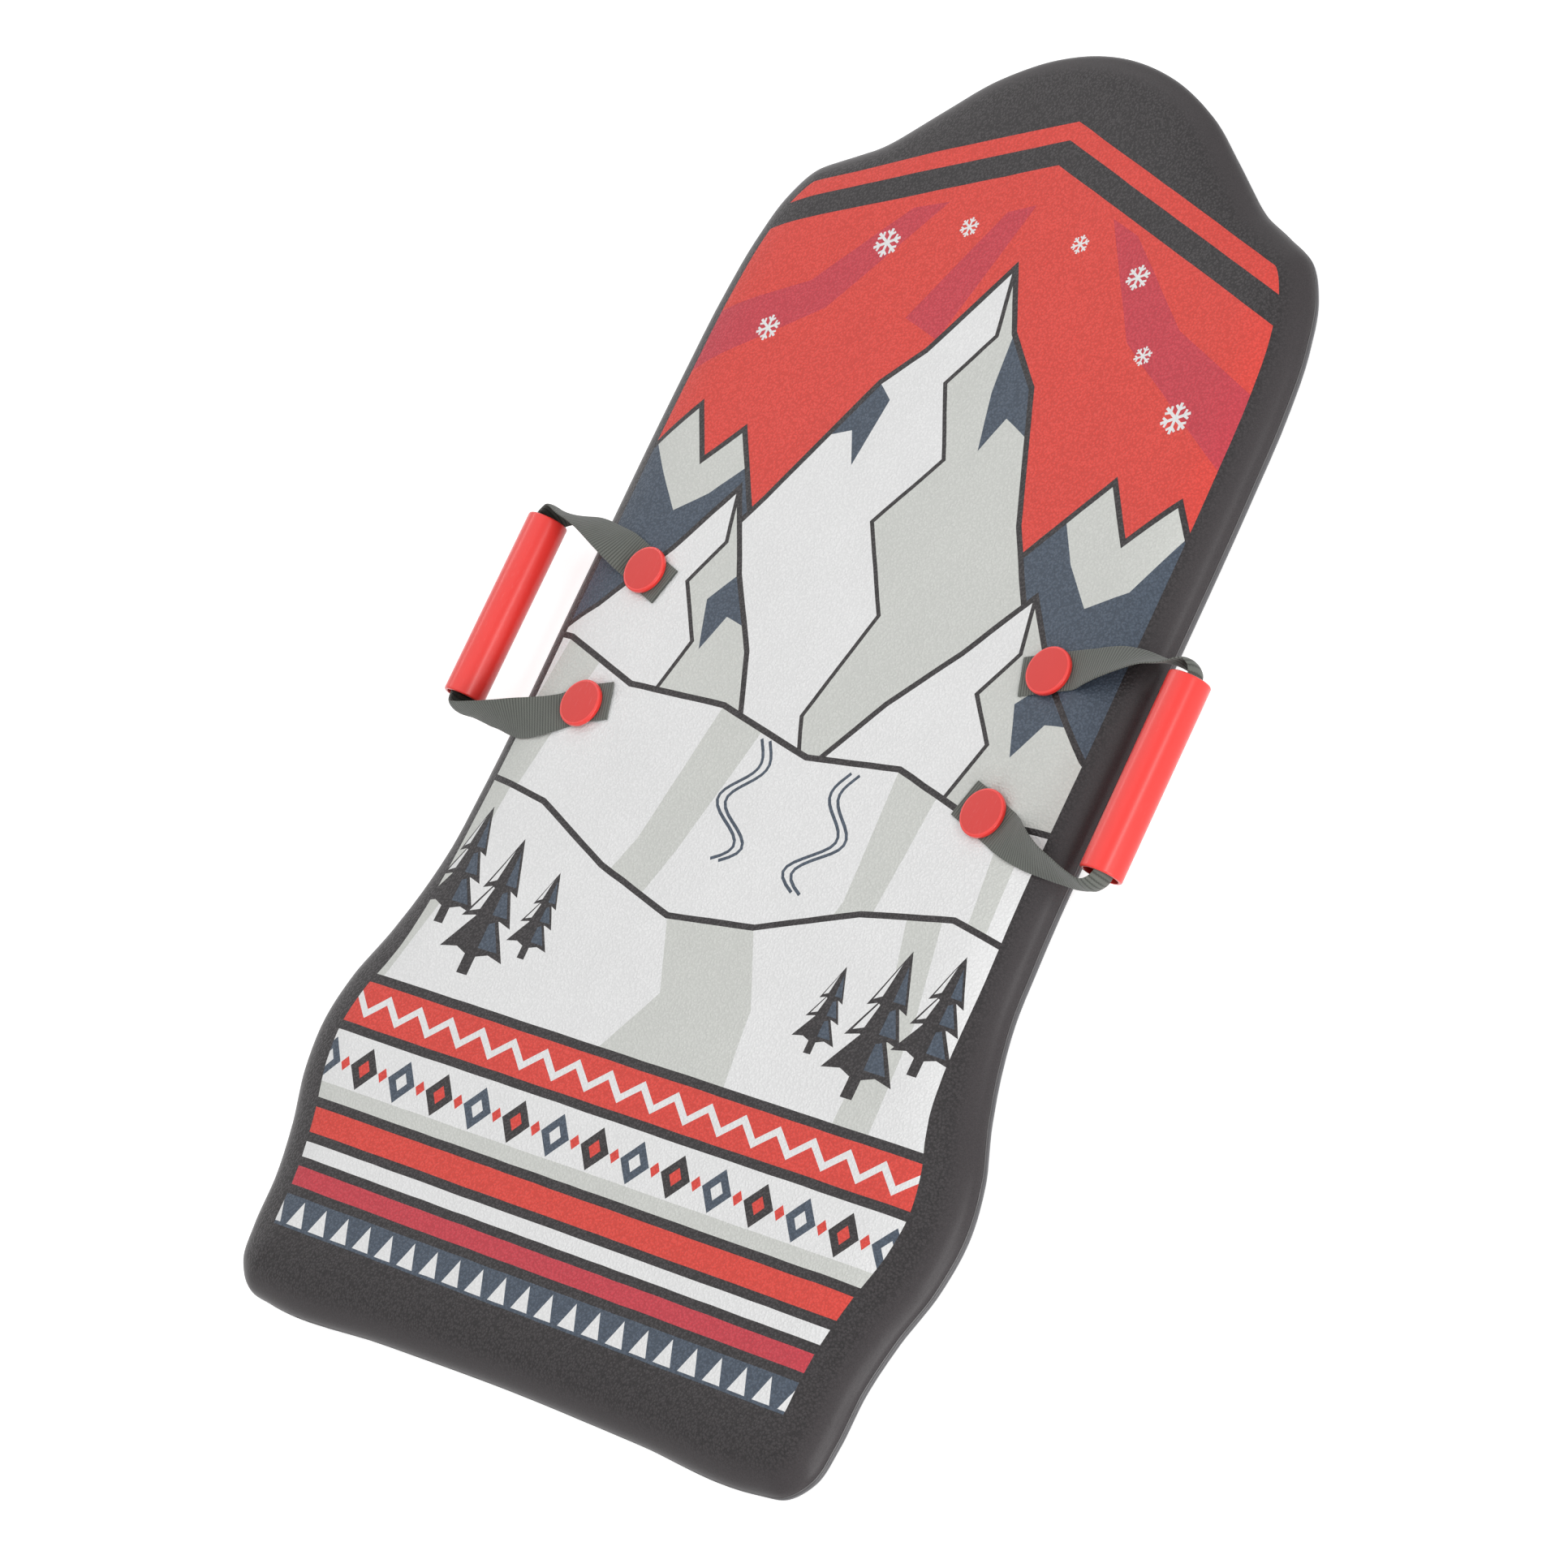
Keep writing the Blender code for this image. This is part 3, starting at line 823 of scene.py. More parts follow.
@dataclass
class DeckArtwork:
    """A winter landscape of the sled's own: dusk sky, faceted peaks, ski slopes, pines, knit bands.

    All sizes are millimetres on the flat deck. Later layers are printed over earlier ones.
    """

    edge_step: float = 13.0
    wobble: float = 0.32
    wobble_length: float = 19.0
    reach: float = 290.0
    layers: list[tuple[Ink, list[Point]]] = field(default_factory=list)

    def draw(self) -> list[tuple[Ink, list[Point]]]:
        """Lay down the whole print.

        Returns:
            Each shape's ink and outline, from the first printed to the last.
        """
        self._sky()
        self._far_range()
        self._peaks()
        self._slopes()
        self._pines()
        self._knit_bands()
        return [(ink, self._hand_cut(shape)) for ink, shape in self.layers]

    def _add(self, ink: Ink, *shapes: Sequence[Point]) -> None:
        """Print shapes in one ink."""
        self.layers.extend((ink, list(shape)) for shape in shapes)

    def _line(self, points: Sequence[Point], width: float = 4.0, ink: Ink = Ink.CHARCOAL) -> None:
        """Print a line with a pen of this width."""
        self._add(ink, stroke(points, width))

    def _hand_cut(self, shape: Sequence[Point]) -> list[Vector]:
        """Give a shape the slightly uneven edge of a hand-cut stencil.

        Args:
            shape: The shape's outline.

        Returns:
            The outline with more points, each moved a little, in metres.
        """
        cut = []
        for a, b in zip(shape, list(shape[1:]) + [shape[0]]):
            start, end = Vector(a), Vector(b)
            steps = max(1, math.ceil((end - start).length / self.edge_step))
            for k in range(steps):
                p = start.lerp(end, k / steps)
                sway = noise.noise_vector((p.x / self.wobble_length, p.y / self.wobble_length, 0.7))
                cut.append(Vector((p.x + self.wobble * sway.x, p.y + self.wobble * sway.y)) * MM)
        return cut

    def _sky(self) -> None:
        """Red dusk sky under a charcoal nose, with darker streaks and falling flakes."""
        r = self.reach
        self._add(Ink.WHITE, [(-r, -460), (r, -460), (r, 460), (-r, 460)])
        self._add(Ink.RED, [(-r, 0), (r, 0), (r, 268), (0, 372), (-r, 268)])
        self._add(Ink.DARK_RED,
                  [(-r, 196), (-150, 262), (-96, 322), (-70, 330), (-128, 246), (-r, 140)],
                  [(r, 214), (146, 276), (84, 330), (60, 338), (112, 262), (r, 150)],
                  [(-62, 250), (-22, 330), (-2, 338), (-30, 240)])
        self._add(Ink.CHARCOAL, [(-r, 262), (0, 366), (r, 262), (r, 470), (-r, 470)])
        self._add(Ink.RED, stroke([(-r, 286), (0, 390), (r, 286)], 12.5))
        for flake in ((-104, 296, 10), (98, 304, 8.5), (-166, 226, 9), (44, 318, 6.5),
                      (172, 222, 10.5), (-46, 316, 7), (128, 256, 6.5)):
            self._flake(*flake)

    def _flake(self, x: float, y: float, radius: float) -> None:
        """Print a six-armed snow crystal.

        Args:
            x: Its middle across the deck.
            y: Its middle along the deck.
            radius: Length of its arms.
        """
        pen, middle = 0.2 * radius, Vector((x, y))
        for arm in range(6):
            turn = math.radians(60 * arm + 30)
            ahead = Vector((math.cos(turn), math.sin(turn)))
            self._line([(x, y), tuple(middle + ahead * radius)], pen, Ink.WHITE)
            fork = middle + ahead * 0.55 * radius
            for lean in (turn - 0.9, turn + 0.9):
                side = Vector((math.cos(lean), math.sin(lean)))
                self._line([tuple(fork), tuple(fork + side * 0.4 * radius)], 0.8 * pen, Ink.WHITE)

    def _far_range(self) -> None:
        """Low far mountains in slate and light grey along the foot of the sky."""
        r = self.reach
        for ridge, lit in (
                ([(-r, 60), (-214, 138), (-190, 168), (-168, 132), (-146, 158), (-96, 84),
                  (-20, 20)],
                 [(-190, 168), (-168, 132), (-146, 158), (-130, 134), (-150, 112), (-172, 96),
                  (-198, 122), (-214, 138)]),
                ([(-10, 20), (104, 112), (150, 176), (176, 140), (202, 172), (r, 50)],
                 [(150, 176), (176, 140), (202, 172), (216, 154), (196, 112), (170, 96), (146, 120),
                  (128, 146)])):
            self._add(Ink.SLATE, ridge + [(ridge[-1][0], -60), (ridge[0][0], -60)])
            self._add(Ink.LIGHT_GREY, lit)
            self._line(ridge)

    def _peak(self, apex: Point, left: Sequence[Point], right: Sequence[Point],
              spur: Sequence[Point], rocks: Sequence[Sequence[Point]]) -> None:
        """Print a mountain with a lit face, a shaded face and rock bands.

        Args:
            apex: Its top.
            left: Its left edge from below the top down.
            right: Its right edge from below the top down.
            spur: The crest between its faces, from below the top down.
            rocks: Bare rock patches.
        """
        self._add(Ink.WHITE, [apex, *right, *reversed(left)])
        self._add(Ink.LIGHT_GREY, [apex, *right, *reversed(spur)])
        self._add(Ink.SLATE, *rocks)
        self._line([apex, *spur], 3.0)
        self._line([left[-1], *reversed(left[:-1]), apex, *right])

    def _peaks(self) -> None:
        """The three main peaks, the tallest in the middle."""
        self._peak((4, 296), [(-34, 232), (-58, 206), (-104, 118), (-150, 40), (-210, -60)],
                   [(26, 254), (58, 222), (96, 136), (150, 52), (214, -60)],
                   [(14, 250), (-8, 214), (18, 166), (-14, 118), (24, 62), (2, -10), (26, -60)],
                   [[(26, 254), (58, 222), (72, 190), (50, 200), (40, 176), (30, 214)],
                    [(-58, 206), (-80, 165), (-62, 172), (-50, 150), (-44, 196)]])
        self._peak((-128, 120), [(-158, 72), (-196, 26), (-self.reach, -50)],
                   [(-96, 66), (-62, 20), (-30, -50)],
                   [(-118, 84), (-134, 54), (-108, 18), (-128, -50)],
                   [[(-96, 66), (-72, 34), (-90, 38), (-100, 14), (-112, 46)]])
        self._peak((132, 96), [(98, 52), (60, 10), (18, -50)],
                   [(170, 48), (214, 8), (self.reach, -40)],
                   [(140, 60), (122, 30), (146, 2), (128, -50)],
                   [[(170, 48), (196, 24), (180, 22), (166, -2), (152, 30)]])

    def _slopes(self) -> None:
        """Snow slopes below the peaks, with long grey drifts running down to the pines."""
        r = self.reach
        for edge, *drifts in (
                ([(-r, 8), (-206, 2), (-140, -18), (-60, -16), (20, -34), (92, -26), (160, -44),
                  (r, -34)],
                 [(-206, 2), (-172, -8), (-196, -120), (-224, -230), (-246, -230), (-224, -110)],
                 [(-60, -16), (-22, -26), (-44, -110), (-86, -230), (-128, -230), (-78, -110)],
                 [(92, -26), (128, -36), (120, -120), (96, -230), (62, -230), (96, -112)],
                 [(184, -42), (202, -41), (206, -130), (198, -230), (184, -230), (194, -130)]),
                ([(-r, -112), (-222, -96), (-164, -104), (-96, -132), (-28, -150), (40, -142),
                  (112, -116), (180, -104), (r, -122)],
                 [(-28, -150), (40, -142), (66, -190), (74, -250), (-40, -250), (-6, -196)],
                 [(-222, -96), (-196, -99), (-204, -170), (-228, -250), (-252, -250), (-232, -170)],
                 [(146, -109), (172, -105), (186, -170), (190, -250), (160, -250), (164, -170)])):
            self._add(Ink.WHITE, edge + [(r, -300), (-r, -300)])
            self._add(Ink.LIGHT_GREY, *drifts)
            self._line(edge)
        for x, top, swing in ((-16, -30, 1), (62, -36, -1)):
            for ski in (-3.4, 3.4):
                self._line([(x + ski + swing * (6 + 0.55 * k) * math.sin(0.42 * k), top - 3.6 * k)
                            for k in range(23)], 2.2, Ink.SLATE)

    def _pine(self, x: float, foot: float, height: float) -> None:
        """Print a pine with three tiers, its right half in slate, with snow on its tips.

        Args:
            x: Its trunk's place across the deck.
            foot: Level of its foot.
            height: Its height.
        """
        def part(ink: Ink, spread: float, corners: Sequence[Place]) -> None:
            """Print a part by shares of its spread, levels, and shares of the height above them."""
            self._add(ink, [(x + a * spread, level + b * height) for a, level, b in corners])

        part(Ink.CHARCOAL, 0.05 * height,
             [(-1, foot, 0), (1, foot, 0), (1, foot, 0.2), (-1, foot, 0.2)])
        for low, high, wide in ((0.14, 0.56, 1.0), (0.38, 0.78, 0.78), (0.6, 1.0, 0.56)):
            spread, bottom, top = 0.3 * height * wide, foot + low * height, foot + high * height
            part(Ink.CHARCOAL, spread, [(0, top, 0), (-1, bottom, 0), (-0.5, bottom, 0.03),
                                        (0, bottom, -0.02), (0.5, bottom, 0.03), (1, bottom, 0)])
            part(Ink.SLATE, spread, [(0.12, top, -0.1), (0.12, bottom, 0.06), (0.72, bottom, 0.06)])
            if wide < 1:
                part(Ink.WHITE, spread, [(-0.2, top, -0.1), (-0.8, bottom, 0.045),
                                         (-0.45, bottom, 0.075)])

    def _pines(self) -> None:
        """Groups of pines at both sides of the near slope."""
        for pine in ((-202, -196, 80), (-124, -202, 58), (-164, -222, 92), (200, -198, 76),
                     (120, -204, 56), (162, -222, 94)):
            self._pine(*pine)

    def _knit_bands(self) -> None:
        """Bands across the tail in the manner of knitted winter patterns."""
        r = self.reach

        def band(ink: Ink, low: float, high: float) -> None:
            """Print a band across the deck."""
            self._add(ink, [(-r, low), (r, low), (r, high), (-r, high)])

        def diamond(ink: Ink, x: float, wide: float, tall: float, y: float = -297) -> None:
            """Print a diamond of the pale band."""
            self._add(ink, [(x, y + tall), (x - wide, y), (x, y - tall), (x + wide, y)])

        band(Ink.CHARCOAL, -470, -238)
        band(Ink.RED, -272, -244)
        self._line(zigzag(-252, 252, -264, 12, 18), 4.6, Ink.WHITE)
        band(Ink.WHITE, -322, -278)
        band(Ink.LIGHT_GREY, -322, -312)
        for k in range(-7, 8):
            x = 34.0 * k
            outer, inner = (Ink.SLATE, Ink.WHITE) if k % 2 else (Ink.CHARCOAL, Ink.RED)
            diamond(outer, x, 12, 14)
            diamond(inner, x, 5, 6)
            diamond(Ink.RED, x + 17, 4, 5)
        band(Ink.RED, -344, -328)
        band(Ink.WHITE, -360, -350)
        band(Ink.DARK_RED, -378, -366)
        band(Ink.SLATE, -404, -384)
        for k in range(-12, 13):
            x = 20.0 * k
            self._add(Ink.WHITE, [(x - 7, -402), (x + 7, -402), (x, -386)])


class PlanCells:
    """A piece of the plan, cut into small flat cells along closed shapes."""

    nearest: float = 1e-3

    def __init__(self, shapes: Sequence[Sequence[Vector]],
                 rows: Sequence[tuple[Vector, Vector]] = ()) -> None:
        """Cut along every shape and row.

        Args:
            shapes: The closed shapes.
            rows: Ends of straight rows of edges, in millimetres.
        """
        points, faces = [], []
        for shape in shapes:
            faces.append(list(range(len(points), len(points) + len(shape))))
            points += [Vector(p) / MM for p in shape]
        first = len(points)
        edges = [(first + 2 * k, first + 2 * k + 1) for k in range(len(rows))]
        points += [end for row in rows for end in row]
        cut = delaunay_2d_cdt(points, edges, faces, 0, self.nearest, True)
        spots, _, self.cells, self.origins = cut[:4]
        self.plan = np.array([p[:2] for p in spots]) * MM
        self.middles = np.array([self.plan[list(cell)].mean(axis=0) for cell in self.cells])

    def within(self, border: Sequence[Vector], holes: Sequence[Sequence[Vector]]) -> np.ndarray:
        """Find the cells inside a border.

        Args:
            border: The border.
            holes: Shapes inside it that are left open.

        Returns:
            The numbers of the cells.
        """
        kept = inside(self.middles, border)
        for hole in holes:
            kept &= ~inside(self.middles, hole)
        return np.flatnonzero(kept)


@dataclass
class SledBoard:
    """The board: printed deck laminate, seam weld, slick underside, and the foam between them."""

    shape: BoardShape
    rivets: RivetPlan
    artwork: DeckArtwork
    groups: EffectGroups
    skin_sheet: float = 1.2 * MM
    join_within: float = 0.04 * MM
    roll_angles: tuple[float, ...] = (90, 84, 77, 69, 60, 51, 42, 33, 24, 14, 0)
    side_margin: float = 17 * MM
    fin_margin: float = 30 * MM
    fins_start: float = -0.130
    fins_full: float = -0.235
    weld_turn: float = math.radians(1.4)
    weld_step: float = 4 * MM
    weld_sway: float = 0.12 * MM
    weld_waves: float = 45
    weld_section: tuple[Point, ...] = (
        (-0.9, 0.8), (-0.1, 0.72), (0.12, 0.6), (0.22, 0.38), (0.12, 0.16), (-0.3, 0.02),
        (-0.5, -0.3), (-0.5, -0.8), (-0.35, -1.15), (-1.0, -1.25))
    groove: float = 1.05 * MM
    slick_sheet: float = 1.2 * MM
    slick_corner: float = 3.5 * MM
    sole_rings: tuple[float, ...] = (14, 30, 50, 75, 105)
    dimple_rims: tuple[float, ...] = (0.5, 3.0)
    nose_row: float = 12
    nose_rows_end: float = 430
    nose_row_least: float = 5

    def build(self) -> None:
        """Build and dress every piece of the board."""
        outline = self.shape.outline()
        seam = self.shape.outline(self.weld_turn, self.weld_step)
        settle(self._deck(outline), "sled", "deck_laminate", "deck_skin")
        settle(self._seam_weld(seam), "sled", "deck_laminate")
        settle(self._slick(outline), "sled", "slick_sheet", "slick_bottom")
        foam = FoamFinish("foam", (0.30, 0.30, 0.31), 0.85, 0.0006)
        dress_node("foam_core", foam.material(self.groups))

    def _inks(self) -> list[Material]:
        """One laminate material for each ink, then the bare laminate of the inner face.

        Returns:
            The material slots of the deck.
        """
        # Each ink: colour, roughness, relief, and how dark the painted shade in the grain's hollows
        # and the fibre specks go.
        looks = {
            Ink.CHARCOAL: ((0.044, 0.038, 0.040), 0.44, 0.0003, 0.56),
            Ink.WHITE: ((0.83, 0.83, 0.83), 0.55, 0.0003, 0.075),
            Ink.LIGHT_GREY: ((0.645, 0.655, 0.623), 0.55, 0.0003, 0.08),
            Ink.RED: ((0.78, 0.072, 0.054), 0.50, 0.0003, 0.20),
            Ink.DARK_RED: ((0.62, 0.056, 0.078), 0.50, 0.0003, 0.20),
            Ink.SLATE: ((0.080, 0.105, 0.144), 0.48, 0.0003, 0.34),
        }
        finishes = [LaminateFinish(f"deck_{ink.name.lower()}", *look, contrast=contrast)
                    for ink, (*look, contrast) in looks.items()]
        finishes.append(LaminateFinish("laminate_back", (0.09, 0.09, 0.09), 0.8, 0.0001))
        return [finish.material(self.groups) for finish in finishes]

    def _deck(self, outline: list[Vector]) -> Object:
        """Cut the laminate along the print, roll it over the rails and give it its thickness.

        Args:
            outline: The plan outline.

        Returns:
            The deck laminate.
        """
        rings = [self.shape.ring(outline, self.shape.roll * (1 - math.sin(math.radians(a))))
                 for a in self.roll_angles]
        panel = self._panel(outline)
        holes = [self.rivets.circle(p, self.rivets.hole, self.rivets.hole_steps)
                 for p in self.rivets.places().values()]
        layers = self.artwork.draw()
        cut = PlanCells([shape for _, shape in layers] + rings + [panel] + holes)
        inks = np.full(len(cut.cells), Ink.CHARCOAL.value)
        for ink, shape in layers:
            inks[inside(cut.middles, shape)] = ink.value
        inks[~inside(cut.middles, panel)] = Ink.CHARCOAL.value
        insets = distance_to(cut.plan, outline)
        bm = bmesh.new()
        layer = bm.verts.layers.float.new("rail_inset")
        verts: dict[int, BMVert] = {}
        for number in cut.within(rings[0], holes):
            for index in cut.cells[number]:
                if index not in verts:
                    x, y = cut.plan[index]
                    verts[index] = bm.verts.new((x, y, self.shape.deck_height(y, insets[index])))
                    verts[index][layer] = insets[index]
            face = bm.faces.new([verts[index] for index in cut.cells[number]])
            face.material_index = int(inks[number])
        bmesh.ops.remove_doubles(bm, verts=bm.verts, dist=self.join_within)
        bmesh.ops.dissolve_degenerate(bm, edges=bm.edges, dist=0.5 * self.join_within)
        bmesh.ops.recalc_face_normals(bm, faces=bm.faces)
        deck = finish_mesh("deck_laminate", bm, self._inks())
        sheet = deck.modifiers.new("Sheet", "SOLIDIFY")
        sheet.thickness = self.skin_sheet
        sheet.offset = -1.0
        sheet.material_offset = sheet.material_offset_rim = len(Ink)
        return deck

    def _panel(self, outline: list[Vector]) -> list[Vector]:
        """Edge of the printed panel: a narrow charcoal margin, wider round the tail fins.

        Args:
            outline: The plan outline.

        Returns:
            The edge's points.
        """
        edge = []
        for slim, wide in zip(self.shape.ring(outline, self.side_margin),
                              self.shape.ring(outline, self.fin_margin)):
            share = (self.fins_start - slim.y) / (self.fins_start - self.fins_full)
            share = min(max(share, 0.0), 1.0)
            edge.append(slim.lerp(wide, share * share * (3 - 2 * share)))
        return edge

    def _seam_weld(self, outline: list[Vector]) -> Object:
        """The weld of the deck laminate to the slick sheet: a thin bright lip over a groove.

        Args:
            outline: The plan outline.

        Returns:
            The weld.
        """
        bm = bmesh.new()
        rings = []
        for index, here in enumerate(outline):
            along = (outline[(index + 1) % len(outline)] - outline[index - 1]).normalized()
            out = Vector((along.y, -along.x, 0.0))
            level = self.shape.lift(here.y) + self.shape.seam_height
            sway = noise.noise_vector((*(here * self.weld_waves), 0.3)) * self.weld_sway
            middle = Vector((here.x, here.y, level + sway.x))
            rings.append([bm.verts.new(middle + out * (x * MM + sway.y * (x > 0))
                                       + Vector((0, 0, z * MM))) for x, z in self.weld_section])
        for ring, after in zip(rings, rings[1:] + rings[:1]):
            bridge(bm, ring, after)
        bmesh.ops.recalc_face_normals(bm, faces=bm.faces)
        finish = SlickFinish("weld", (0.125, 0.12, 0.122), 0.34)
        return finish_mesh("seam_weld", bm, [finish.material(self.groups)])

    def _slick(self, outline: list[Vector]) -> Object:
        """The slick sheet: upturned edge, rounded corner, flat sole and four pressed dimples.

        Args:
            outline: The plan outline.

        Returns:
            The slick underside.
        """
        levels = [(0.0, self.shape.seam_height - self.groove)]
        levels += [(inset, rise) for rise, inset in rounding(self.slick_corner, 6)]
        bm = bmesh.new()
        rings = [[bm.verts.new((p.x, p.y, self.shape.lift(p.y) + rise))
                  for p in self.shape.ring(outline, inset)] for inset, rise in levels]
        for upper, lower in zip(rings, rings[1:]):
            bridge(bm, upper, lower)
        self._sole(bm, outline, rings[-1])
        bmesh.ops.recalc_face_normals(bm, faces=bm.faces)
        finish = SlickFinish("slick", (0.105, 0.102, 0.108), 0.36, 0.00008)
        sole = finish_mesh("slick_sheet", bm, [finish.material(self.groups)])
        sheet = sole.modifiers.new("Sheet", "SOLIDIFY")
        sheet.thickness = self.slick_sheet
        sheet.offset = -1.0
        return sole

    def _sole(self, bm: BMesh, outline: list[Vector], edge: list[BMVert]) -> None:
        """Close the underside inside its corner, with a dimple for each rivet base.

        Args:
            bm: The slick's mesh.
            outline: The plan outline.
            edge: The corner's last ring.
        """
        border = [Vector((v.co.x, v.co.y)) for v in edge]
        places = self.rivets.places().values()
        dimples = [self.rivets.circle(p, self.rivets.dimple) for p in places]
        shapes = [border] + [self.shape.ring(outline, inset * MM) for inset in self.sole_rings]
        shapes += [self.rivets.circle(p, self.rivets.dimple + rim * MM)
                   for p in places for rim in self.dimple_rims]
        cut = PlanCells(shapes + dimples, self._nose_rows(border))
        known = {index: edge[min(origin)] for index, origin in enumerate(cut.origins)
                 if origin and min(origin) < len(border)}
        for number in cut.within(border, dimples):
            for index in cut.cells[number]:
                if index not in known:
                    x, y = cut.plan[index]
                    known[index] = bm.verts.new((x, y, self.shape.lift(y)))
            bm.faces.new([known[index] for index in cut.cells[number]])
        by_origin = {o: index for index, origin in enumerate(cut.origins) for o in origin}
        start = sum(len(shape) for shape in shapes)
        for place, circle in zip(places, dimples):
            self._dimple(bm, place, [known[by_origin[start + k]] for k in range(len(circle))])
            start += len(circle)

    def _nose_rows(self, border: list[Vector]) -> list[tuple[Vector, Vector]]:
        """Rows of edges across the nose, so that its sweep bends evenly.

        Args:
            border: Edge of the flat sole.

        Returns:
            Both ends of each row, in millimetres.
        """
        rows = []
        y = self.shape.nose_lift_start / MM
        while y < self.nose_rows_end:
            widths = (p.x / MM for p in border if abs(p.y / MM - y) < self.nose_row)
            wide = max(widths, default=0.0) - self.nose_row
            if wide > self.nose_row_least:
                rows.append((Vector((-wide, y)), Vector((wide, y))))
            y += self.nose_row
        return rows

    def _dimple(self, bm: BMesh, place: Point, mouth: list[BMVert]) -> None:
        """Press one dimple up from its mouth to the hole in its ceiling.

        Args:
            bm: The slick's mesh.
            place: The rivet's plan position.
            mouth: The dimple's mouth in the sole.
        """
        for radius, height in self.rivets.dimple_wall:
            circle = self.rivets.circle(place, radius * MM, len(mouth))
            upper = [bm.verts.new((p.x, p.y, height * MM)) for p in circle]
            bridge(bm, mouth, upper)
            mouth = upper


@dataclass
class SnapRivets:
    """The four red snap rivets: turned heads on the deck and bases in the underside."""

    plan: RivetPlan
    plastic: Material
    # Darker red of the heads' flat tops: painted shade, on a rougher face without a coat.
    face: Material
    face_radius: float = 13.9 * MM
    face_step: float = 0.16 * MM
    bevel: float = 0.95 * MM
    post_end: float = 3.3 * MM
    deck: float = 25.5 * MM
    strap_sheet: float = 1.2 * MM
    gap: float = 0.3 * MM
    steps: int = 64

    def build(self) -> None:
        """Turn the heads and dress the bases."""
        for name, (x, y) in self.plan.places().items():
            head = lathe(f"snap_head_{name}", self._profile(), self.steps, self.plastic,
                         Matrix.Translation((x, y, 0.0)), 30.0)
            head.data.materials.append(self.face)
            for face in head.data.polygons:
                away = math.hypot(face.center.x - x, face.center.y - y)
                # The flat top takes the darker red: painted shade.
                if face.normal.z > 0.9 and away < self.face_radius:
                    face.material_index = 1
            settle(head, "sled", "red_plastic", f"rivet_head_{name}")
            dress_node(f"rivet_base_{name}", self.plastic)

    def _profile(self) -> list[Point]:
        """Section of a head, from the middle of its face round to its hollow post.

        Returns:
            Radius and height of each point.
        """
        under = self.deck + 2 * self.gap + self.strap_sheet
        top = under + self.plan.head_height
        r, inner = self.plan.head_radius, self.face_radius
        rim = [(r - 0.05 * MM - a, top - self.face_step - b) for a, b in rounding(self.bevel, 6)]
        return [(0.0, top), (inner - 0.25 * MM, top), (inner - 0.08 * MM, top - 0.03 * MM),
                (inner, top - self.face_step), *rim, (r, under + 0.7 * MM),
                (r - 0.15 * MM, under + 0.3 * MM), (r - 0.5 * MM, under), (self.plan.post, under),
                (self.plan.post, self.post_end), (self.plan.bore, self.post_end),
                (self.plan.bore, self.deck), (0.0, self.deck + 1 * MM)]


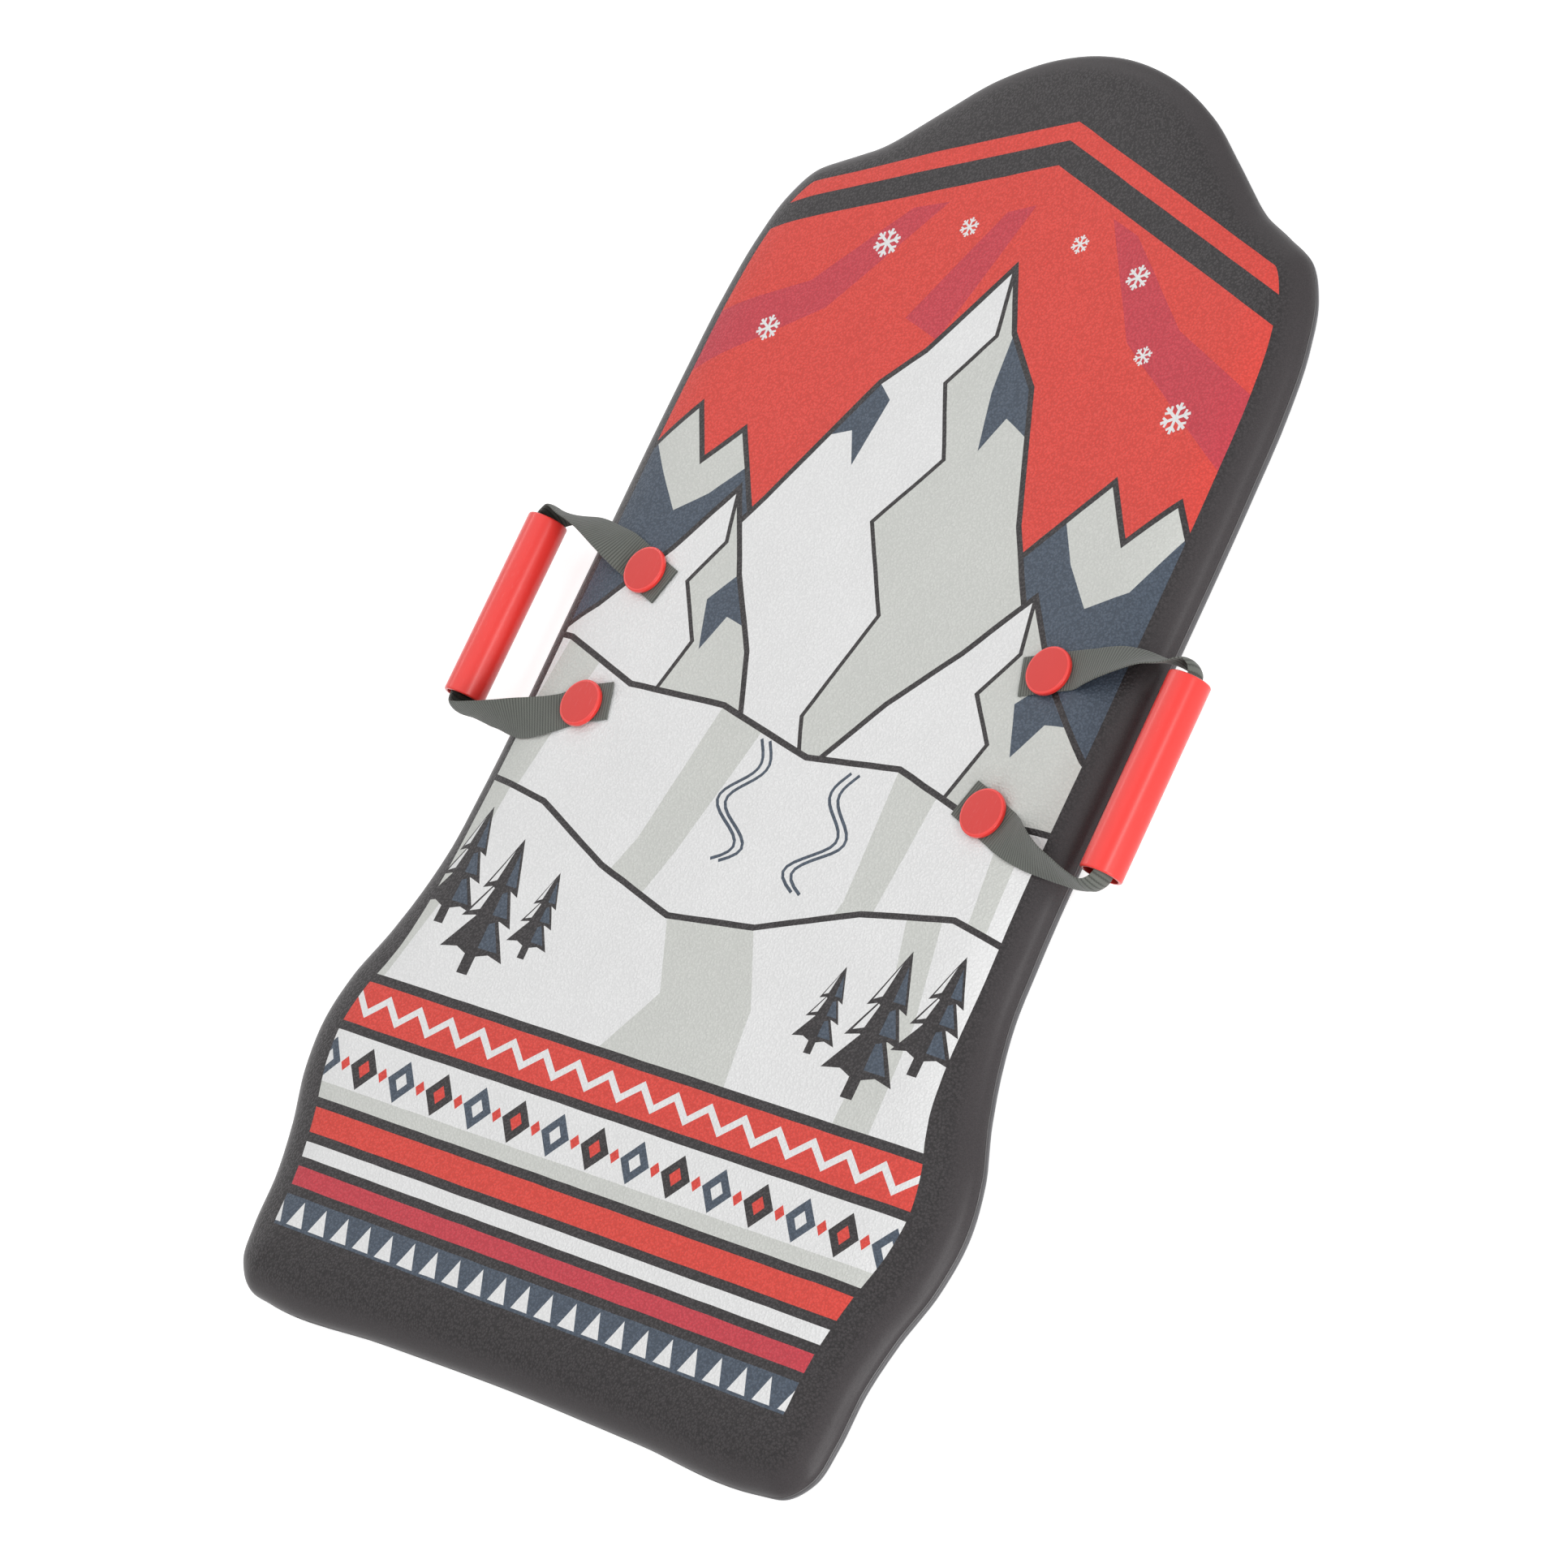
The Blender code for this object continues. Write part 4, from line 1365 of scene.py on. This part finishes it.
@dataclass
class WebbingHandle:
    """One handle: a twisted webbing strap riveted to the deck at both ends, through a tube grip."""

    side: Side
    route: tuple[StrapRow, ...]
    plastic: Material
    webbing: Material
    width: float = 25.4 * MM
    sheet: float = 1.2 * MM
    edge_thinning: float = 0.45
    edge_power: int = 10
    columns: int = 14
    samples: int = 7
    curl_radius: float = 9.2 * MM
    least_curl: float = 0.001
    grip_x: float = 266.8 * MM
    grip_y: float = 7.1 * MM
    grip_z: float = 27.0 * MM
    grip_length: float = 125 * MM
    grip_radius: float = 13.2 * MM
    grip_bore: float = 11.0 * MM
    grip_steps: int = 72
    mouth_rounding: tuple[float, float] = (1.25 * MM, 0.5 * MM)
    bend_start: float = 179 * MM
    bend_end: float = 203 * MM

    def build(self) -> None:
        """Build the strap and the grip, and hang the grip on its tube's body."""
        strap = self._strap()
        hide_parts(f"strap_{self.side.word}")
        sign = self.side.value
        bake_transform(strap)
        log.info("%s: %d faces, across the swing", strap.name, len(strap.data.polygons))
        place = (Matrix.Translation((sign * self.grip_x, self.grip_y, self.grip_z))
                 @ Matrix.Rotation(math.radians(-90), 4, "X"))
        grip = lathe(f"tube_grip_{self.side.word}", self._grip_profile(), self.grip_steps,
                     self.plastic, place, 50.0)
        settle(grip, f"tube_{self.side.word}", "red_plastic", f"grip_{self.side.word}")

    def _grip_profile(self) -> list[Point]:
        """Section of the tube wall with rounded mouths.

        Returns:
            Radius and height of each point.
        """
        half = 0.5 * self.grip_length
        outer, inner = (rounding(radius, 5) for radius in self.mouth_rounding)
        upper = [(self.grip_bore + a, half - b) for a, b in reversed(inner)]
        upper += [(self.grip_radius - a, half - b) for a, b in outer]
        return upper + [(radius, -height) for radius, height in reversed(upper)]

    def _stations(self) -> list[tuple[Vector, float, float, float]]:
        """Follow the route along the strap.

        Returns:
            Middle, turn, curl and length along the strap at each station.
        """
        points = [Vector(row[:3]) * MM for row in self.route]
        keys = lengths_along(points)
        middles = smooth_curve(points, keys, self.samples)
        shapes = smooth_curve([Vector(row[3:5]) for row in self.route], keys, self.samples)
        return [(middle, math.radians(shape[0]), min(max(shape[1], 0.0), 1.0), place)
                for middle, shape, place in zip(middles, shapes, lengths_along(middles))]

    def _strap(self) -> Object:
        """Loft the webbing along its way, with its weave's own coordinates.

        Returns:
            The strap.
        """
        bm = bmesh.new()
        layer = bm.verts.layers.float_vector.new("weave_place")
        stations = self._stations()
        last = len(stations) - 1
        sections = []
        for index, (middle, turn, curl, place) in enumerate(stations):
            before, after = stations[max(index - 1, 0)][0], stations[min(index + 1, last)][0]
            ahead = (after - before).normalized()
            level = Vector((ahead.y, -ahead.x, 0.0)).normalized()
            across = level * math.cos(turn) + ahead.cross(level) * math.sin(turn)
            face = across.cross(ahead)
            sections.append(self._section(bm, layer, middle, across, face, curl, place))
        for section, after in zip(sections, sections[1:]):
            bridge(bm, section, after)
        for section in (sections[0], sections[-1]):
            for k in range(len(section) // 2 - 1):
                bm.faces.new((section[k], section[k + 1], section[-k - 2], section[-k - 1]))
        bmesh.ops.recalc_face_normals(bm, faces=bm.faces)
        return finish_mesh(f"webbing_{self.side.word}", bm, [self.webbing], 60.0)

    def _section(self, bm: BMesh, layer: object, middle: Vector, across: Vector, face: Vector,
                 curl: float, place: float) -> list[BMVert]:
        """One section of the webbing, once round it, top face first.

        Args:
            bm: The strap's mesh.
            layer: The weave coordinates' layer.
            middle: Middle of the section.
            across: Direction across the webbing.
            face: Direction out of its top face.
            curl: How far it is curled lengthways, up to 1.
            place: Length along the strap.

        Returns:
            The section's vertices.
        """
        bend = max(curl, self.least_curl) / self.curl_radius
        half = 0.5 * self.width
        top, bottom = [], []
        for k in range(self.columns + 1):
            s = half * math.sin(0.5 * math.pi * (2 * k / self.columns - 1))
            side = math.sin(bend * s) / bend
            bow = (math.cos(bend * s) - math.cos(bend * half)) / bend
            centre = middle + across * side + face * bow
            normal = face * math.cos(bend * s) + across * math.sin(bend * s)
            thin = self.edge_thinning * (abs(s) / half) ** self.edge_power
            thick = 0.5 * self.sheet * (1 - thin)
            for row, sign in ((top, 1), (bottom, -1)):
                p = centre + normal * (sign * thick)
                vert = bm.verts.new((self.side.value * p.x, p.y, p.z))
                vert[layer] = (place, s, sign * thick)
                row.append(vert)
        return top + bottom[::-1]


# Studio


@dataclass(frozen=True)
class SoftLamp:
    """A soft light: its place, its width and length, and what it adds to a card that faces it."""

    name: str
    place: Place
    width: float
    length: float
    level: float

    def build(self) -> None:
        """Hang the lamp, aimed at the sled."""
        data = bpy.data.lights.new(self.name, "AREA")
        data.shape = "RECTANGLE"
        data.size = self.width
        data.size_y = self.length
        place = Vector(self.place)
        data.energy = self.level * math.pi ** 2 * place.length_squared
        lamp = bpy.data.objects.new(self.name, data)
        lamp.location = place
        lamp.rotation_euler = (-place).to_track_quat("-Z", "Y").to_euler()
        bpy.context.scene.collection.objects.link(lamp)


@dataclass
class Studio:
    """White studio: floor, soft lamps, pale background and the camera at the photographed angle."""

    lens: float = 139.48
    sensor: float = 36.0
    farthest: float = 50.0
    place: Place = (2.4484, -0.7020, 2.6004)
    right: Place = (0.70989906, 0.41936958, -0.56583786)
    up: Place = (-0.19779803, 0.88977936, 0.41130114)
    world_level: float = 0.56
    floor_half_width: float = 6.0
    floor_drop: float = 0.3 * MM
    floor_tone: float = 0.68
    floor_glow: float = 0.7
    lamps: tuple[SoftLamp, ...] = (
        SoftLamp("overhead_softbox", (-0.5, 0.4, 2.8), 2.8, 2.8, 0.18),
        SoftLamp("right_strip", (2.35, -0.1, 1.45), 2.2, 0.30, 0.28),
        SoftLamp("left_strip", (-2.1, 1.1, 1.7), 2.4, 0.20, 0.15),
        SoftLamp("low_fill", (2.8, -1.2, 0.45), 2.2, 0.8, 0.33),
    )

    def build(self) -> None:
        """Set up the whole studio."""
        scene = bpy.context.scene
        scene.view_settings.view_transform = "Standard"
        self._camera(scene)
        self._background(scene)
        self._floor()
        for lamp in self.lamps:
            lamp.build()
        log.info("studio: %d lamps", len(self.lamps))

    def _camera(self, scene: Scene) -> None:
        """Place the camera where the photograph was taken from.

        Args:
            scene: The scene.
        """
        data = bpy.data.cameras.new("camera")
        data.lens = self.lens
        data.sensor_width = self.sensor
        data.clip_end = self.farthest
        camera = bpy.data.objects.new("camera", data)
        right, up = Vector(self.right), Vector(self.up)
        turn = Matrix((right, up, right.cross(up))).transposed().to_4x4()
        camera.matrix_world = Matrix.Translation(self.place) @ turn
        scene.collection.objects.link(camera)
        scene.camera = camera

    @staticmethod
    def _seen(graph: Graph) -> NodeSocket:
        """Mark the rays from the camera, and those through reflections and glass.

        Args:
            graph: The nodes that the mark is for.

        Returns:
            1 for these rays and 0 for the others.
        """
        path = graph.add("LightPath")
        seen = path.outputs["Is Camera Ray"]
        seen = graph.math("MAXIMUM", seen, path.outputs["Is Glossy Ray"])
        return graph.math("MAXIMUM", seen, path.outputs["Is Transmission Ray"])

    def _background(self, scene: Scene) -> None:
        """White for what is seen, a plain level for the light.

        Args:
            scene: The scene.
        """
        scene.world = bpy.data.worlds.new("studio_world")
        scene.world.use_nodes = True
        graph = Graph(scene.world.node_tree)
        low = self.world_level
        level = graph.math("MULTIPLY_ADD", self._seen(graph), 1.0 - low, low)
        background = graph.tree.nodes["Background"]
        graph.feed(background, {"Color": (1.0, 1.0, 1.0, 1.0), "Strength": level})

    def _floor(self) -> None:
        """A wide white floor that keeps the sled's soft shadow."""
        material = bpy.data.materials.new("studio_floor")
        material.use_nodes = True
        graph = Graph(material.node_tree)
        glow = graph.math("MULTIPLY", self._seen(graph), self.floor_glow)
        shader = graph.feed(graph.tree.nodes["Principled BSDF"], {
            "Base Color": (*[self.floor_tone] * 3, 1.0), "Roughness": 0.9,
            "Specular IOR Level": 0.0, "Emission Color": (1.0, 1.0, 1.0, 1.0),
            "Emission Strength": glow})
        below = graph.add("NewGeometry").outputs["Backfacing"]
        clear = graph.add("BsdfTransparent").outputs[0]
        one_way = graph.add("MixShader", {0: below, 1: shader.outputs[0], 2: clear})
        graph.feed(graph.tree.nodes["Material Output"], {"Surface": one_way.outputs[0]})
        bm = bmesh.new()
        bmesh.ops.create_grid(bm, x_segments=8, y_segments=8, size=self.floor_half_width)
        floor = finish_mesh("floor", bm, [material])
        floor.location.z = -self.floor_drop


RIGHT_ROUTE: tuple[StrapRow, ...] = (
    (148.6, 46.4, 26.4, 0, 0), (168.3, 53.3, 26.4, 0, 0), (181, 57.2, 26.4, 0, 0),
    (184.6, 58.3, 26.5, 0, 0), (188.4, 59.4, 27.4, -3, 0), (195, 61.6, 29.2, -12, 0),
    (204, 65.3, 30.8, -20, 0), (213.5, 69.2, 31, -28, 0), (224.8, 72.4, 30.2, -42, 0),
    (236.2, 74.3, 29.2, -58, 0), (247, 75, 28, -69, 0.05), (256, 75.3, 27, -85, 0.2),
    (262.4, 74, 27.1, -107, 0.7), (266.0, 70.6, 27.9, -116, 1.0), (266.0, 62, 27.5, -114, 0.95),
    (265.8, -48, 27.2, -105, 0.92), (265.6, -56.4, 27.2, -105, 0.9),
    (262.4, -60.8, 26.6, -101, 0.55), (255.6, -62.3, 26.4, -91, 0.2),
    (247, -62.3, 27.3, -81, 0.05), (237.6, -60.8, 29.2, -72, 0),
    (226.3, -58.8, 31.6, -61, 0), (215, -55.8, 32.8, -45, 0), (204.6, -52.2, 31.9, -29, 0),
    (195.4, -49, 29.6, -13, 0), (188, -46.5, 27.4, -4, 0), (184.4, -45, 26.4, 0, 0),
    (181, -43.8, 26.4, 0, 0), (168.3, -39.1, 26.4, 0, 0), (148.6, -32.2, 26.4, 0, 0),
)
LEFT_ROUTE: tuple[StrapRow, ...] = (
    (148.6, 46.4, 26.4, 0, 0), (168.3, 53.3, 26.4, 0, 0), (181, 58.3, 26.4, 0, 0),
    (184.4, 59.6, 26.6, 0, 0), (188, 61, 28.1, -6, 0), (195, 63.6, 30.6, -18, 0),
    (204, 66.6, 32, -31, 0), (214.5, 70, 31.8, -42, 0), (226, 73.4, 31, -51, 0),
    (238, 75.6, 29.8, -60, 0), (248.5, 76, 28.6, -72, 0.05), (256.8, 75.6, 27.4, -89, 0.2),
    (262.9, 74, 26.9, -102, 0.55), (265.8, 70.6, 27.2, -105, 0.9), (265.8, 62, 27.2, -105, 0.92),
    (265.8, -48, 27.2, -105, 0.92), (265.8, -56.4, 27.2, -105, 0.9), (263, -61, 27.6, -100, 0.55),
    (256.6, -63, 28.6, -90, 0.2), (246.8, -63.2, 29.6, -80, 0.05), (235, -62.2, 30, -70, 0),
    (221.6, -61, 30.2, -52, 0), (208.4, -58.5, 29.9, -27, 0), (196.4, -54, 28.6, -9, 0),
    (188, -49.6, 27.2, -2, 0), (184.4, -47.5, 26.4, 0, 0), (181, -45.6, 26.4, 0, 0),
    (168.3, -39.1, 26.4, 0, 0), (148.6, -32.2, 26.4, 0, 0),
)


def main() -> None:
    """Build the sled's looks and the studio, piece by piece."""
    logging.basicConfig(level=logging.INFO, format="%(name)s: %(message)s")
    noise.seed_set(NOISE_SEED)
    groups = EffectGroups()
    rivets = RivetPlan()
    red = PlasticFinish("red_plastic", (0.86, 0.043, 0.035), 0.34, 0.00004).material(groups)
    # Heads' flat tops: the red darkened as painted shade, rougher and without a coat.
    face = PlasticFinish("red_plastic_shaded_face", (0.70, 0.062, 0.056), 0.48, 0.00005, coat=0.0)
    webbing = WebbingFinish("webbing", (0.137, 0.146, 0.129), 0.8, 0.0003).material(groups)
    SledBoard(BoardShape(), rivets, DeckArtwork(), groups).build()
    SnapRivets(rivets, red, face.material(groups)).build()
    for side, route in ((Side.RIGHT, RIGHT_ROUTE), (Side.LEFT, LEFT_ROUTE)):
        WebbingHandle(side, route, red, webbing).build()
    Studio().build()


if __name__ == "__main__":
    main()
